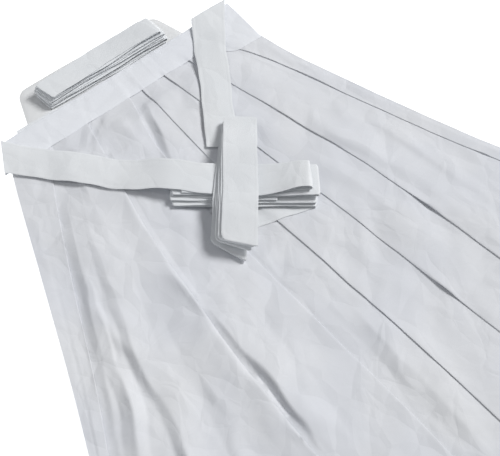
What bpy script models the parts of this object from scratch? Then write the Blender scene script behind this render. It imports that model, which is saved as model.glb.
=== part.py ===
"""White pleated hakama trousers, laid flat with the front side up.

+X is the viewer's right, the wearer's left leg. +Y runs up to the waist and +Z is up.
In the functions, down is the distance below the front band's top edge.
The cloth is a grid shaped by its pleats and thickened to a wall, with each ply on its own level.
"""
import math
from bisect import bisect_right

import bpy

# Whole garment
HEM_DOWN = 0.945
BOARD_RISE = 0.052
TOP_Y = (HEM_DOWN - BOARD_RISE) / 2

# Cloth walls, and the space from one ply to the next
WALL = 0.0010
PLY_PITCH = 0.00135
SEAM_GAP = 0.0003
REACH = 0.008
TIE_WALL = 0.0012
TIE_PITCH = 0.0016
TIE_HALF = 0.0191
BACK_TIE_HALF = 0.0148

# Distances down the cloth at which the lines below are given
STATIONS = (0.0, 0.04, 0.10, 0.20, 0.30, 0.40, 0.55, HEM_DOWN)

# Fold lines and side edge of the front, from the centre line outwards, at each station
LEFT_LEG_LINES = {
    "centre fold": (0.006, 0.007, 0.008, 0.014, 0.024, 0.034, 0.048, 0.080),
    "second fold": (0.034, 0.040, 0.049, 0.066, 0.084, 0.099, 0.123, 0.186),
    "third fold": (0.064, 0.076, 0.093, 0.123, 0.148, 0.168, 0.192, 0.272),
    "side fold": (0.106, 0.119, 0.155, 0.196, 0.237, 0.281, 0.332, 0.448),
    "side edge": (0.150, 0.161, 0.180, 0.217, 0.257, 0.300, 0.353, 0.472),
}
RIGHT_LEG_LINES = {
    "centre fold": (0.010, 0.011, 0.024, 0.029, 0.019, 0.007, -0.001, -0.012),
    "second fold": (0.060, 0.070, 0.081, 0.098, 0.107, 0.112, 0.113, 0.125),
    "side fold": (0.100, 0.121, 0.153, 0.196, 0.236, 0.280, 0.332, 0.448),
    "side edge": (0.158, 0.173, 0.194, 0.227, 0.261, 0.298, 0.353, 0.472),
}

# How deep a pleat runs in behind its fold
OVERLAP_SHARE = 0.5
OVERLAP_WAIST = 0.030
OVERLAP_HEM = 0.055
FOLD_CLEARANCE = 0.006
FOLD_CLEARANCE_SHARE = 0.12
SIDE_FALL = 0.3
SIDE_FALL_SHARE = 0.3

# Places of the plain panel columns between two folds, as shares of the panel's width
PLAIN_SHARES = (0.25, 0.5, 0.75)
RIDGED_SHARES = (0.22, 0.42, 0.60, 0.72, 0.84)
RIDGE_SHARE = 0.72
RIDGE_HEIGHT = 0.0030
RIDGE_FROM = 0.12
RIDGE_TO = 0.75
RIDGE_FADE_IN = 0.10
RIDGE_FADE_OUT = 0.20

# Height of the front's lowest ply: plateau over the back's pleats, low at the sides
BACK_PLEAT_TOP = 2 * PLY_PITCH + WALL
FRONT_MIDDLE = BACK_PLEAT_TOP + 2 * SEAM_GAP
FRONT_SIDE = WALL + SEAM_GAP
WAIST_LIFT = WALL + SEAM_GAP
WAIST_LIFT_FROM = 0.045
WAIST_LIFT_TO = 0.13
WAIST_END_FROM = 0.142
WAIST_END_LENGTH = 0.045
WAIST_END_DROOP = 0.4
LEFT_PLATEAU = (0.116, 0.116, 0.116, 0.120, 0.124, 0.130, 0.140, 0.160)
RIGHT_PLATEAU = (0.143, 0.143, 0.134, 0.122, 0.124, 0.130, 0.140, 0.160)

# Front waistband
BAND_DEPTH = 0.040
BAND_INNER_DEPTH = 0.036
BAND_LEFT_END = -0.162
BAND_LEFT_SLANT = -0.48
BAND_RIGHT_END = 0.167
BAND_CORNER_FROM = 0.100
BAND_CORNER_TO = 0.138
BAND_CORNER_DROP = 0.026
BAND_CORNER_RISE = 0.0038
BAND_TOP_DOWN = 0.0010
PANEL_TOP_DOWN = 0.0018

# Back panels
BACK_TOP_DOWN = 0.0303
BACK_FOLD = (0.055, 0.056, 0.058, 0.062, 0.066, 0.070, 0.076, 0.092)
BACK_OVERLAP = (0.025, 0.026, 0.028, 0.031, 0.034, 0.037, 0.040, 0.048)
BACK_RAMP_START = 0.022
BACK_RAMP_END = 0.004

# Crotch gusset, folded double
GUSSET_TOP_DOWN = 0.52
GUSSET_FOOT_DOWN = 0.80
GUSSET_TOP_HALF = 0.012
GUSSET_FOOT_HALF = 0.032

# Back board and the strip along its base
BOARD_WALL = 0.0022
BOARD_FOOT_DOWN = 0.0300
BOARD_LEFT_TOP = -0.110
BOARD_LEFT_FOOT = -0.136
BOARD_RIGHT_TOP = 0.083
BOARD_RIGHT_FOOT = 0.108
BOARD_CORNER = 0.010
BOARD_CORNER_SHARE = 0.14
BOARD_TILT = 0.005
BOARD_TILT_FROM = 0.2
BOARD_ROW_SHARES = (0.0, 0.04, 0.12, 0.25, 0.6, 1.0)
BOARD_STEPS = 8
STRIP_LEFT = -0.140
STRIP_RIGHT = 0.107
STRIP_LEFT_RISE = 0.0055
STRIP_RIGHT_RISE = -0.0015

# The ties lie at this turn from the waist line
TIE_TURN = math.radians(38.5)

# Tie from the band's left corner: where its middle runs, along and across the turned directions
RIGHT_TIE_ALONG = (-0.122, -0.095, -0.063, -0.020, 0.020, 0.080, 0.150, 0.221)
RIGHT_TIE_ACROSS = (0.1230, 0.1273, 0.1331, 0.1410, 0.1475, 0.1500, 0.1560, 0.1580)
RIGHT_TIE_START = -0.104
RIGHT_TIE_CLIMB_FROM = 0.030
RIGHT_TIE_CLIMB_TO = 0.076
RIGHT_TIE_RETURN = 0.185
CORNER_FOLD_DEPTH = 0.0385
BED_STEP_FROM = 0.010
BED_STEP_LENGTH = 0.020

# Tie over the band's right end: its left and right edges, each as x and down
LEFT_TIE_EDGES = (
    (0.113, -0.0049, 0.165, -0.0049),
    (0.102, 0.0130, 0.143, 0.0240),
    (0.089, 0.0340, 0.1205, 0.0560),
    (0.069, 0.0690, 0.0985, 0.0910),
    (0.048, 0.1040, 0.0760, 0.1260),
    (0.032, 0.1290, 0.0615, 0.1510),
    (0.016, 0.1530, 0.0460, 0.1760),
)
LEFT_TIE_LIP_LOW = 0.0020

# Layers of each folded stack, lowest first: near end, far end, sideways shift
RIGHT_STACK_CENTRE = 0.1600
RIGHT_STACK_LAYERS = (
    (0.125, 0.232, 0.0),
    (0.073, 0.232, 0.0055),
    (0.073, 0.229, 0.0050),
    (0.070, 0.229, 0.0040),
    (0.070, 0.233, 0.0030),
    (0.076, 0.233, 0.0020),
    (0.076, 0.228, 0.0010),
)
RIGHT_STACK_FOOT_ALONG = (0.07, 0.11, 0.15, 0.19, 0.23)
RIGHT_STACK_FOOT_ACROSS = (0.137, 0.165, 0.190, 0.205)
FREE_END_SLOPE = -0.337
FREE_END_PIVOT = 0.224
FREE_END_ACROSS = 0.169
LEFT_STACK_CENTRE = 0.1465
LEFT_STACK_LAYERS = (
    (0.086, 0.257, -0.0125),
    (0.086, 0.252, -0.0110),
    (0.083, 0.252, -0.0095),
    (0.083, 0.248, -0.0075),
    (0.084, 0.248, -0.0050),
    (0.084, 0.244, -0.0030),
    (0.080, 0.244, -0.0012),
    (0.080, 0.241, 0.0),
)
LEFT_STACK_REST_FROM = 0.134
LEFT_STACK_REST_TO = 0.188
LEFT_STACK_END_DROP = 0.0070
LEFT_STACK_DROP_EASE = 0.0008
LEFT_STACK_DROP_LENGTH = 0.055
BACK_STACK_DOWN = -0.0240
BACK_STACK_SLOPE = 0.030
BACK_STACK_LAYERS = (
    (-0.089, 0.072, 0.0060),
    (-0.086, 0.072, 0.0056),
    (-0.086, 0.068, 0.0050),
    (-0.090, 0.068, 0.0046),
    (-0.090, 0.073, 0.0040),
    (-0.087, 0.073, 0.0034),
    (-0.087, 0.066, 0.0026),
    (-0.091, 0.066, 0.0018),
    (-0.091, 0.067, 0.0012),
    (-0.088, 0.067, 0.0006),
    (-0.088, 0.061, 0.0),
)
STACK_SHARES = (0.0, 0.2, 0.4, 0.6, 0.8, 1.0)

# Mesh steps
FRONT_ROWS = 15
FRONT_ROW_POWER = 1.35
BACK_ROWS = 8
BAND_STEPS = 18
RIGHT_TIE_STEPS = 24
LEFT_TIE_STEPS = 14
TIE_SHARES = (0.0, 0.25, 0.5, 0.75, 1.0)

# Colours, as red, green and blue, and roughness
CLOTH_WHITE = (0.86, 0.87, 0.90)
TIE_WHITE = (0.88, 0.89, 0.92)
CLOTH_ROUGHNESS = 0.7

garment = bpy.data.collections.new("hakama trousers")


def ease(share):
    """0 to 1 with level ends, for a share that is held between 0 and 1."""
    share = min(max(share, 0.0), 1.0)
    return share * share * (3 - 2 * share)


def mix(first, second, share):
    """Value between first and second."""
    return first + (second - first) * share


def smooth_table(keys, values, key):
    """Value at a key on the smooth curve through the table's values."""
    last = len(keys) - 1
    k = min(max(bisect_right(keys, key) - 1, 0), last - 1)

    def slope(i):
        low, high = max(i - 1, 0), min(i + 1, last)
        return (values[high] - values[low]) / (keys[high] - keys[low])

    span = keys[k + 1] - keys[k]
    s = (key - keys[k]) / span
    bend_in = (s - 1) ** 2 * s * span * slope(k)
    bend_out = s ** 2 * (s - 1) * span * slope(k + 1)
    return mix(values[k], values[k + 1], s * s * (3 - 2 * s)) + bend_in + bend_out


def along_stations(values, down):
    """Smooth value at a distance down, from the values at the stations."""
    return smooth_table(STATIONS, values, down)


def leg_lines(x):
    """Lines of the leg that x is on."""
    return LEFT_LEG_LINES if x > 0 else RIGHT_LEG_LINES


def front_base(x, down):
    """Underside of the front's lowest ply."""
    plateau = along_stations(LEFT_PLATEAU if x > 0 else RIGHT_PLATEAU, down)
    edge = along_stations(leg_lines(x)["side edge"], down)
    middle = ease((edge - abs(x)) / (edge - plateau))
    waist = 1 - ease((down - WAIST_LIFT_FROM) / (WAIST_LIFT_TO - WAIST_LIFT_FROM))
    droop = WAIST_END_DROOP * ease((abs(x) - WAIST_END_FROM) / WAIST_END_LENGTH)
    return mix(FRONT_SIDE, FRONT_MIDDLE, max(middle, waist * (1 - droop))) + WAIST_LIFT * waist


def under_front(x, down):
    """Lowest underside of the front within a short reach of x."""
    return min(front_base(x + reach, down) for reach in (-REACH, 0.0, REACH))


def front_top(x, down):
    """Top of the pleats, three plies up, at its highest within a short reach of x."""
    highest = max(front_base(x + reach, down) for reach in (-REACH, 0.0, REACH))
    return highest + 2 * PLY_PITCH + WALL


def band_foot(x):
    """Distance down of the band's lower edge, deeper at the corner on the right."""
    corner = ease((x - BAND_CORNER_FROM) / (BAND_CORNER_TO - BAND_CORNER_FROM))
    return BAND_DEPTH + BAND_CORNER_DROP * corner


def bed(x, down):
    """Height on which a tie lies: the pleats, and the band where it covers them."""
    covered = 1 - ease((down - band_foot(x) - BED_STEP_FROM) / BED_STEP_LENGTH)
    return front_top(x, max(down, 0.0)) + (SEAM_GAP + WALL) * covered


def tie_height(x, down):
    """Middle of a tie that lies on the front, clear of all within a short reach."""
    highest = max(bed(x, down + reach) for reach in (-REACH, 0.0, REACH))
    return highest + SEAM_GAP + TIE_WALL / 2


def turned(along, across):
    """x and down of a point in the ties' turned directions."""
    x = along * math.cos(TIE_TURN) - across * math.sin(TIE_TURN)
    down = along * math.sin(TIE_TURN) + across * math.cos(TIE_TURN)
    return x, down


def at(x, down, z):
    """Point of the garment in the part's frame."""
    return (x, TOP_Y - down, z)


def dress(piece, colour):
    """Give a piece its own cloth material."""
    material = bpy.data.materials.new(piece.name + " cloth")
    material.use_nodes = True
    shader = material.node_tree.nodes["Principled BSDF"]
    shader.inputs["Base Color"].default_value = (*colour, 1.0)
    shader.inputs["Roughness"].default_value = CLOTH_ROUGHNESS
    shader.inputs["Metallic"].default_value = 0.0
    piece.data.materials.append(material)


def sheet(name, points, wall, colour):
    """Cloth wall round rows of mid-surface points, every row with as many points."""
    columns = len(points[0]) - 1
    rows = len(points) - 1
    bpy.ops.mesh.primitive_grid_add(x_subdivisions=columns, y_subdivisions=rows, size=2)
    piece = bpy.context.object
    piece.name = name
    for vertex in piece.data.vertices:
        i = round((vertex.co.x + 1) / 2 * columns)
        j = round((vertex.co.y + 1) / 2 * rows)
        vertex.co = points[j][i]
    solidify = piece.modifiers.new("wall", "SOLIDIFY")
    solidify.thickness = wall
    solidify.offset = 0.0
    solidify.use_even_offset = True
    solidify.use_quality_normals = True
    dress(piece, colour)
    for collection in piece.users_collection:
        collection.objects.unlink(piece)
    garment.objects.link(piece)
    return piece


def overlap(line, next_line, down):
    """How far a pleat runs in behind its fold."""
    room = OVERLAP_SHARE * (next_line - line)
    return min(room, mix(OVERLAP_WAIST, OVERLAP_HEM, down / HEM_DOWN))


def under_fold(x, depth):
    """Plies 0 and 1 that lie in behind a fold."""
    return [(x, 0), (x + depth / 2, 0), (x + depth, 0), (x + depth, 1), (x + depth / 2, 1)]


def over_fold(x, depth):
    """The fold itself, and the ply on top of it."""
    return [(x, 1), (x, 2), (x + depth / 2, 2), (x + depth, 2)]


def panel_run(start, end, shares, down):
    """Panel between two folds, falling from ply 2 to ply 0, with a soft ridge if it has one."""
    window = ease((down - RIDGE_FROM) / RIDGE_FADE_IN) * ease((RIDGE_TO - down) / RIDGE_FADE_OUT)
    columns = []
    for share in shares:
        lift = RIDGE_HEIGHT / PLY_PITCH * window if share == RIDGE_SHARE else 0.0
        columns.append((mix(start, end, share), 2 * (1 - ease(share)) + lift))
    return columns + [(end, 0)]


def leg_front_columns(lines, down, ridged_panel):
    """Distance out and ply of each column, from the first fold to the side edge."""
    outs = [along_stations(values, down) for values in lines.values()]
    columns = []
    for k in range(len(outs) - 1):
        depth = overlap(outs[k], outs[k + 1], down)
        columns += under_fold(outs[k], depth) + over_fold(outs[k], depth)
        step = outs[k + 1] - outs[k]
        if k < len(outs) - 2:
            end = outs[k + 1] - min(FOLD_CLEARANCE, FOLD_CLEARANCE_SHARE * step)
            shares = RIDGED_SHARES if k == ridged_panel else PLAIN_SHARES
            columns += panel_run(outs[k] + depth, end, shares, down)
        else:
            columns += [(mix(outs[k] + depth, outs[k + 1], SIDE_FALL_SHARE), 2 - SIDE_FALL), (outs[k + 1], 0)]
    return columns


def front_downs():
    """Distances down of the front's rows, closer together near the waist."""
    length = HEM_DOWN - PANEL_TOP_DOWN
    return [PANEL_TOP_DOWN + length * (j / FRONT_ROWS) ** FRONT_ROW_POWER for j in range(FRONT_ROWS + 1)]


def front_point(x, down, ply):
    """Point on the middle of a ply of the front."""
    return at(x, down, front_base(x, down) + WALL / 2 + ply * PLY_PITCH)


def make_front_left_leg():
    """Front on the viewer's right: its seam edge lies on ply 1 behind the centre fold."""
    rows = []
    for down in front_downs():
        columns = leg_front_columns(LEFT_LEG_LINES, down, None)[3:]
        rows.append([front_point(x, down, ply) for x, ply in columns])
    sheet("front_left_leg", rows, WALL, CLOTH_WHITE)


def make_front_right_leg():
    """Front on the viewer's left, with the centre panel that runs in under the other leg."""
    rows = []
    for down in front_downs():
        fold = along_stations(LEFT_LEG_LINES["centre fold"], down)
        depth = overlap(fold, along_stations(LEFT_LEG_LINES["second fold"], down), down)
        own_fold = along_stations(RIGHT_LEG_LINES["centre fold"], down)
        columns = [(-fold - depth, 0), (-fold - depth / 2, 0), (-fold, 0), (mix(-fold, own_fold, 0.5), 0)]
        columns += leg_front_columns(RIGHT_LEG_LINES, down, 1)
        rows.append([front_point(-out, down, ply) for out, ply in columns])
    sheet("front_right_leg", rows, WALL, CLOTH_WHITE)


def back_columns(edge, down):
    """Distance out and ply of each column of a back panel, whose outer side is underneath."""
    fold = along_stations(BACK_FOLD, down)
    depth = along_stations(BACK_OVERLAP, down)
    columns = [(SEAM_GAP / 2, 0), (fold - BACK_RAMP_START, 0)]
    columns += [(fold - (BACK_RAMP_START + BACK_RAMP_END) / 2, 1), (fold - BACK_RAMP_END, 2)]
    columns += [(fold + depth, 2), (fold + depth, 1), (fold, 1), (fold, 0), (fold + depth, 0)]
    return columns + [(mix(fold + depth, edge, 0.5), 0), (edge, 0)]


def make_back_leg(name, side, lines):
    """Back of one leg, flat on the surface, with one deep pleat near the middle."""
    rows = []
    for j in range(BACK_ROWS + 1):
        down = mix(BACK_TOP_DOWN, HEM_DOWN, j / BACK_ROWS)
        columns = back_columns(along_stations(lines["side edge"], down), down)
        rows.append([at(side * out, down, WALL / 2 + ply * PLY_PITCH) for out, ply in columns])
    sheet(name, rows, WALL, CLOTH_WHITE)


def make_gusset():
    """Crotch gusset, folded double between the front and the back."""
    low = WALL + SEAM_GAP + WALL / 2
    rows = []
    for j in range(3):
        down = mix(GUSSET_TOP_DOWN, GUSSET_FOOT_DOWN, j / 2)
        half = mix(GUSSET_TOP_HALF, GUSSET_FOOT_HALF, j / 2)
        outs = ((-half, 0), (0.0, 0), (half, 0), (half, 1), (0.0, 1), (-half, 1))
        rows.append([at(x, down, low + ply * PLY_PITCH) for x, ply in outs])
    sheet("gusset", rows, WALL, CLOTH_WHITE)


def make_front_waistband():
    """Band folded over the pleats' top edge, deeper where it turns at the right corner."""
    rows = []
    for i in range(BAND_STEPS + 1):
        share = i / BAND_STEPS
        centre = mix(BAND_LEFT_END, BAND_RIGHT_END, share)
        rise = BAND_CORNER_RISE * ease((centre - BAND_CORNER_FROM) / (BAND_CORNER_TO - BAND_CORNER_FROM))
        top = BAND_TOP_DOWN - rise
        inner = [BAND_INNER_DEPTH, BAND_INNER_DEPTH / 2, top]
        outer = [top, BAND_DEPTH / 2, band_foot(centre)]
        row = []
        for down in inner:
            x = mix(BAND_LEFT_END + BAND_LEFT_SLANT * down, BAND_RIGHT_END, share)
            row.append(at(x, down, under_front(x, max(down, 0.0)) - SEAM_GAP - WALL / 2))
        for down in outer:
            x = mix(BAND_LEFT_END + BAND_LEFT_SLANT * down, BAND_RIGHT_END, share)
            row.append(at(x, down, front_top(x, max(down, 0.0)) + SEAM_GAP + WALL / 2))
        rows.append(row)
    sheet("front_waistband", rows, WALL, TIE_WHITE)


def make_back_board():
    """Stiff trapezoid board at the back of the waist, lying on the surface."""
    rows = []
    for share in BOARD_ROW_SHARES:
        down = mix(-BOARD_RISE, BOARD_FOOT_DOWN, share)
        corner = BOARD_CORNER * (1 - ease(share / BOARD_CORNER_SHARE))
        left = mix(BOARD_LEFT_TOP, BOARD_LEFT_FOOT, share) + corner
        right = mix(BOARD_RIGHT_TOP, BOARD_RIGHT_FOOT, share) - corner
        row = []
        for i in range(BOARD_STEPS + 1):
            out = i / BOARD_STEPS
            tilt = BOARD_TILT * ease((out - BOARD_TILT_FROM) / (1 - BOARD_TILT_FROM)) * (1 - share) ** 2
            row.append(at(mix(left, right, out), down + tilt, BOARD_WALL / 2))
        rows.append(row)
    sheet("back_board", rows, BOARD_WALL, TIE_WHITE)


def make_back_waist_strip():
    """Strip sewn along the board's base, which shows past the board's left end."""
    lie = BOARD_WALL + SEAM_GAP + WALL / 2
    rows = []
    for share in (0.0, 0.2, 0.4, 0.6, 0.8, 1.0):
        x = mix(STRIP_LEFT, STRIP_RIGHT, share)
        rise = mix(STRIP_LEFT_RISE, STRIP_RIGHT_RISE, ease(share / 0.7))
        rows.append([at(x, down, lie) for down in (-rise, BOARD_FOOT_DOWN / 2, BOARD_FOOT_DOWN)])
    sheet("back_waist_strip", rows, WALL, TIE_WHITE)


def right_stack_base():
    """Height on which the stack of the right tie lies."""
    heights = []
    for along in RIGHT_STACK_FOOT_ALONG:
        for across in RIGHT_STACK_FOOT_ACROSS:
            heights.append(bed(*turned(along, across)))
    return max(heights) + SEAM_GAP


def right_tie_height(along, x, down):
    """Middle of the right tie, lying on the front and then climbing on its own stack."""
    raised = right_stack_base() + (len(RIGHT_STACK_LAYERS) + 1) * TIE_PITCH + TIE_WALL / 2
    share = ease((along - RIGHT_TIE_CLIMB_FROM) / (RIGHT_TIE_CLIMB_TO - RIGHT_TIE_CLIMB_FROM))
    return mix(tie_height(x, down), raised, share)


def make_front_tie_right():
    """Tie that turns at the band's left corner, crosses the front and folds on its stack."""
    corner = []
    for share in TIE_SHARES:
        down = CORNER_FOLD_DEPTH * share
        x = BAND_LEFT_END + BAND_LEFT_SLANT * down
        corner.append(at(x, down, tie_height(x, down)))
    rows = [corner]
    end = RIGHT_TIE_ALONG[-1]
    for k in range(RIGHT_TIE_STEPS + 3):
        along = mix(RIGHT_TIE_START, end, min(k / RIGHT_TIE_STEPS, 1.0))
        returning = k > RIGHT_TIE_STEPS
        across = smooth_table(RIGHT_TIE_ALONG, RIGHT_TIE_ACROSS, along)
        row = []
        for share in TIE_SHARES:
            x, down = turned(along, across + (2 * share - 1) * TIE_HALF)
            z = right_tie_height(along, x, down) - TIE_PITCH * returning
            if k == RIGHT_TIE_STEPS + 2:
                x, down = turned(RIGHT_TIE_RETURN, across + (2 * share - 1) * TIE_HALF)
            row.append(at(x, down, z))
        rows.append(row)
    sheet("front_tie_right", rows, TIE_WALL, TIE_WHITE)


def make_front_tie_left():
    """Tie that comes over the band's top edge at the right and runs down to its stack."""
    rows = []
    marks = range(len(LEFT_TIE_EDGES))
    for k in range(LEFT_TIE_STEPS + 1):
        mark = marks[-1] * k / LEFT_TIE_STEPS
        edges = [smooth_table(marks, column, mark) for column in zip(*LEFT_TIE_EDGES)]
        left_x, left_down, right_x, right_down = edges
        row = []
        for share in TIE_SHARES:
            x, down = mix(left_x, right_x, share), mix(left_down, right_down, share)
            row.append(at(x, down, tie_height(x, down)))
        rows.append(row)
    lip = [(x, y, LEFT_TIE_LIP_LOW) for x, y, z in rows[0]]
    sheet("front_tie_left", [lip] + rows, TIE_WALL, TIE_WHITE)


def stack(name, layers, place):
    """Strip folded to and fro; place gives the two edge points for an end, a share and a layer."""
    rows = []
    for k, (near, far, shift) in enumerate(layers):
        shares = STACK_SHARES if k % 2 == 0 else tuple(reversed(STACK_SHARES))
        for share in shares:
            rows.append(place(mix(near, far, share), k, shift))
    sheet(name, rows, TIE_WALL, TIE_WHITE)


def make_front_tie_right_bundle():
    """Stack of the right tie; its lowest layer is the free end, turned a little."""
    base = right_stack_base() + TIE_WALL / 2

    def place(along, layer, shift):
        across = RIGHT_STACK_CENTRE + shift
        if layer == 0:
            across = FREE_END_ACROSS + FREE_END_SLOPE * (along - FREE_END_PIVOT)
        z = base + layer * TIE_PITCH
        return [at(*turned(along, across + side * TIE_HALF), z) for side in (-1, 1)]

    stack("front_tie_right_bundle", RIGHT_STACK_LAYERS, place)


def make_front_tie_left_bundle():
    """Stack of the left tie, which bridges the other stack and falls off towards its ends."""
    crossing = right_stack_base() + (len(RIGHT_STACK_LAYERS) + 2) * TIE_PITCH + SEAM_GAP + TIE_WALL / 2

    def place(across, layer, shift):
        past = max(LEFT_STACK_REST_FROM - across, across - LEFT_STACK_REST_TO, 0.0)
        drop = (LEFT_STACK_END_DROP - layer * LEFT_STACK_DROP_EASE) * ease(past / LEFT_STACK_DROP_LENGTH)
        z = crossing + layer * TIE_PITCH - drop
        along = LEFT_STACK_CENTRE + shift
        return [at(*turned(along + side * TIE_HALF, across), z) for side in (-1, 1)]

    stack("front_tie_left_bundle", LEFT_STACK_LAYERS, place)


def make_back_tie_bundle():
    """Both back ties folded to and fro on the board."""
    base = BOARD_WALL + SEAM_GAP + TIE_WALL / 2

    def place(x, layer, shift):
        down = BACK_STACK_DOWN + shift + BACK_STACK_SLOPE * x
        return [at(x, down + side * BACK_TIE_HALF, base + layer * TIE_PITCH) for side in (-1, 1)]

    stack("back_tie_bundle", BACK_STACK_LAYERS, place)


def clear_scene():
    """Remove what the scene holds."""
    for thing in list(bpy.data.objects):
        bpy.data.objects.remove(thing, do_unlink=True)


def main():
    """Build every piece."""
    clear_scene()
    bpy.context.scene.collection.children.link(garment)
    make_back_leg("back_right_leg", -1, RIGHT_LEG_LINES)
    make_back_leg("back_left_leg", 1, LEFT_LEG_LINES)
    make_gusset()
    make_front_right_leg()
    make_front_left_leg()
    make_back_board()
    make_back_waist_strip()
    make_front_waistband()
    make_front_tie_right_bundle()
    make_front_tie_right()
    make_front_tie_left()
    make_front_tie_left_bundle()
    make_back_tie_bundle()


main()
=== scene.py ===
"""White pleated hakama trousers, laid flat with the front side up, in thin cloth over the solids.

+X is the viewer's right, the wearer's left leg. +Y runs up to the waist and +Z is up.
In the functions, down is the distance below the front band's top edge, in metres.
"""
import logging
import math
from dataclasses import dataclass, field
from enum import Enum

import bpy
import numpy as np
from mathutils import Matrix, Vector


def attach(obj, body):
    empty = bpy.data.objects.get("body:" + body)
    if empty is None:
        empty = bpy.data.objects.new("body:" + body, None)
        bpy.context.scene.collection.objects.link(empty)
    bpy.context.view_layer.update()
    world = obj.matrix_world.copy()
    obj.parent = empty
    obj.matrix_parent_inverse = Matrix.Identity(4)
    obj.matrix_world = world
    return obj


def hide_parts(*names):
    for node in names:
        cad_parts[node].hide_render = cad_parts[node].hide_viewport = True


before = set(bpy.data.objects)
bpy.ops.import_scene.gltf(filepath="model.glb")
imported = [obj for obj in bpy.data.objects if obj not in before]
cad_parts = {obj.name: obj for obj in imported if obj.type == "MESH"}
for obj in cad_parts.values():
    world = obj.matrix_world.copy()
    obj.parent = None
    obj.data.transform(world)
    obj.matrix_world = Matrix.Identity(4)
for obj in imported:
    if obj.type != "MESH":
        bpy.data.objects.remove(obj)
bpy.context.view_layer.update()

log = logging.getLogger("hakama")

Array = np.ndarray

# Whole garment, and the space from one ply to the next, the same as in the solids
HEM_DOWN = 0.945
TOP_Y = 0.4465
WALL = 0.0010
PLY_PITCH = 0.00135
FINE_PITCH = 0.00046
SEAM_GAP = 0.0003
REACH = 0.008
TIE_WALL = 0.0009
BOARD_WALL = 0.0022
STACK_WALL = 0.0007
TIE_SEAM_SHARE = 0.78
TIE_HALF = 0.0191
BACK_TIE_HALF = 0.0138
TIE_TURN = math.radians(38.5)

# Distances down the cloth at which the lines below are given
STATIONS = (0.0, 0.04, 0.10, 0.20, 0.30, 0.40, 0.55, HEM_DOWN)

# Fold lines and side edge of the front, from the centre line outwards, at each station
LEFT_LEG_LINES = {
    "centre fold": (0.006, 0.007, 0.008, 0.014, 0.024, 0.034, 0.048, 0.080),
    "second fold": (0.034, 0.040, 0.049, 0.066, 0.084, 0.099, 0.123, 0.186),
    "third fold": (0.064, 0.076, 0.093, 0.123, 0.148, 0.168, 0.192, 0.272),
    "side fold": (0.106, 0.119, 0.155, 0.196, 0.237, 0.281, 0.332, 0.448),
    "side edge": (0.150, 0.161, 0.180, 0.217, 0.257, 0.300, 0.353, 0.472),
}
RIGHT_LEG_LINES = {
    "centre fold": (0.010, 0.011, 0.024, 0.030, 0.027, 0.021, 0.011, 0.004),
    "second fold": (0.060, 0.070, 0.081, 0.098, 0.107, 0.112, 0.113, 0.125),
    "side fold": (0.100, 0.121, 0.153, 0.196, 0.236, 0.280, 0.332, 0.448),
    "side edge": (0.158, 0.173, 0.194, 0.227, 0.261, 0.298, 0.353, 0.472),
}

# How deep a pleat runs in behind its fold
OVERLAP_SHARE = 0.5
OVERLAP_WAIST = 0.030
OVERLAP_HEM = 0.055
FOLD_CLEARANCE = 0.006
FOLD_CLEARANCE_SHARE = 0.12

# Height of the front's lowest ply: plateau over the back's pleats, low at the sides
FRONT_MIDDLE = 2 * PLY_PITCH + WALL + 2 * SEAM_GAP
FRONT_SIDE = WALL + SEAM_GAP
WAIST_LIFT = WALL + SEAM_GAP
WAIST_LIFT_FROM = 0.045
WAIST_LIFT_TO = 0.13
WAIST_END_FROM = 0.142
WAIST_END_LENGTH = 0.045
WAIST_END_DROOP = 0.4
LEFT_PLATEAU = (0.116, 0.116, 0.116, 0.120, 0.124, 0.130, 0.140, 0.160)
RIGHT_PLATEAU = (0.143, 0.143, 0.134, 0.122, 0.124, 0.130, 0.140, 0.160)

# Front waistband
BAND_DEPTH = 0.040
BAND_INNER_DEPTH = 0.036
BAND_LEFT_END = -0.162
BAND_LEFT_SLANT = -0.48
BAND_RIGHT_END = 0.167
BAND_CORNER_FROM = 0.100
BAND_CORNER_TO = 0.138
BAND_CORNER_DROP = 0.026
BAND_CORNER_RISE = 0.0038
BAND_TOP_DOWN = 0.0010
PANEL_TOP_DOWN = 0.0018

# Cells of the uneven reliefs before they repeat, and the cell on the centre line
CELLS = 64
MIDDLE_CELL = 24.0


class Slot(Enum):
    """Names of the material slots, which the cloths carry."""

    BODY = "body_cloth"
    TIE = "tie_cloth"
    BOARD = "board_cloth"


def ease(share: Array | float) -> Array:
    """0 to 1 with level ends, for a share that is held between 0 and 1."""
    held = np.clip(share, 0.0, 1.0)
    return held * held * (3 - 2 * held)


def mix(first: Array | float, second: Array | float, share: Array | float) -> Array | float:
    """Value between first and second."""
    return first + (second - first) * share


def smooth_table(keys: tuple[float, ...], values: tuple[float, ...], key: Array | float) -> Array:
    """Value on the smooth curve through a table.

    Args:
        keys: rising positions of the table's values.
        values: the table's values.
        key: positions that are asked for.

    Returns:
        The smooth value at each position.
    """
    k, v, at_key = np.asarray(keys, float), np.asarray(values, float), np.asarray(key, float)
    last = len(k) - 1
    slopes = np.array([
        (v[min(i + 1, last)] - v[max(i - 1, 0)]) / (k[min(i + 1, last)] - k[max(i - 1, 0)])
        for i in range(last + 1)
    ])
    i = np.clip(np.searchsorted(k, at_key, side="right") - 1, 0, last - 1)
    span = k[i + 1] - k[i]
    s = (at_key - k[i]) / span
    bend_in = (s - 1) ** 2 * s * span * slopes[i]
    bend_out = s ** 2 * (s - 1) * span * slopes[i + 1]
    return mix(v[i], v[i + 1], s * s * (3 - 2 * s)) + bend_in + bend_out


def along_stations(values: tuple[float, ...], down: Array | float) -> Array:
    """Smooth value at a distance down, from the values at the stations."""
    return smooth_table(STATIONS, values, down)


def turned(along: Array | float, across: Array | float) -> tuple[Array, Array]:
    """x and down of points in the ties' turned directions."""
    x = along * math.cos(TIE_TURN) - across * math.sin(TIE_TURN)
    down = along * math.sin(TIE_TURN) + across * math.cos(TIE_TURN)
    return x, down


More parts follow.
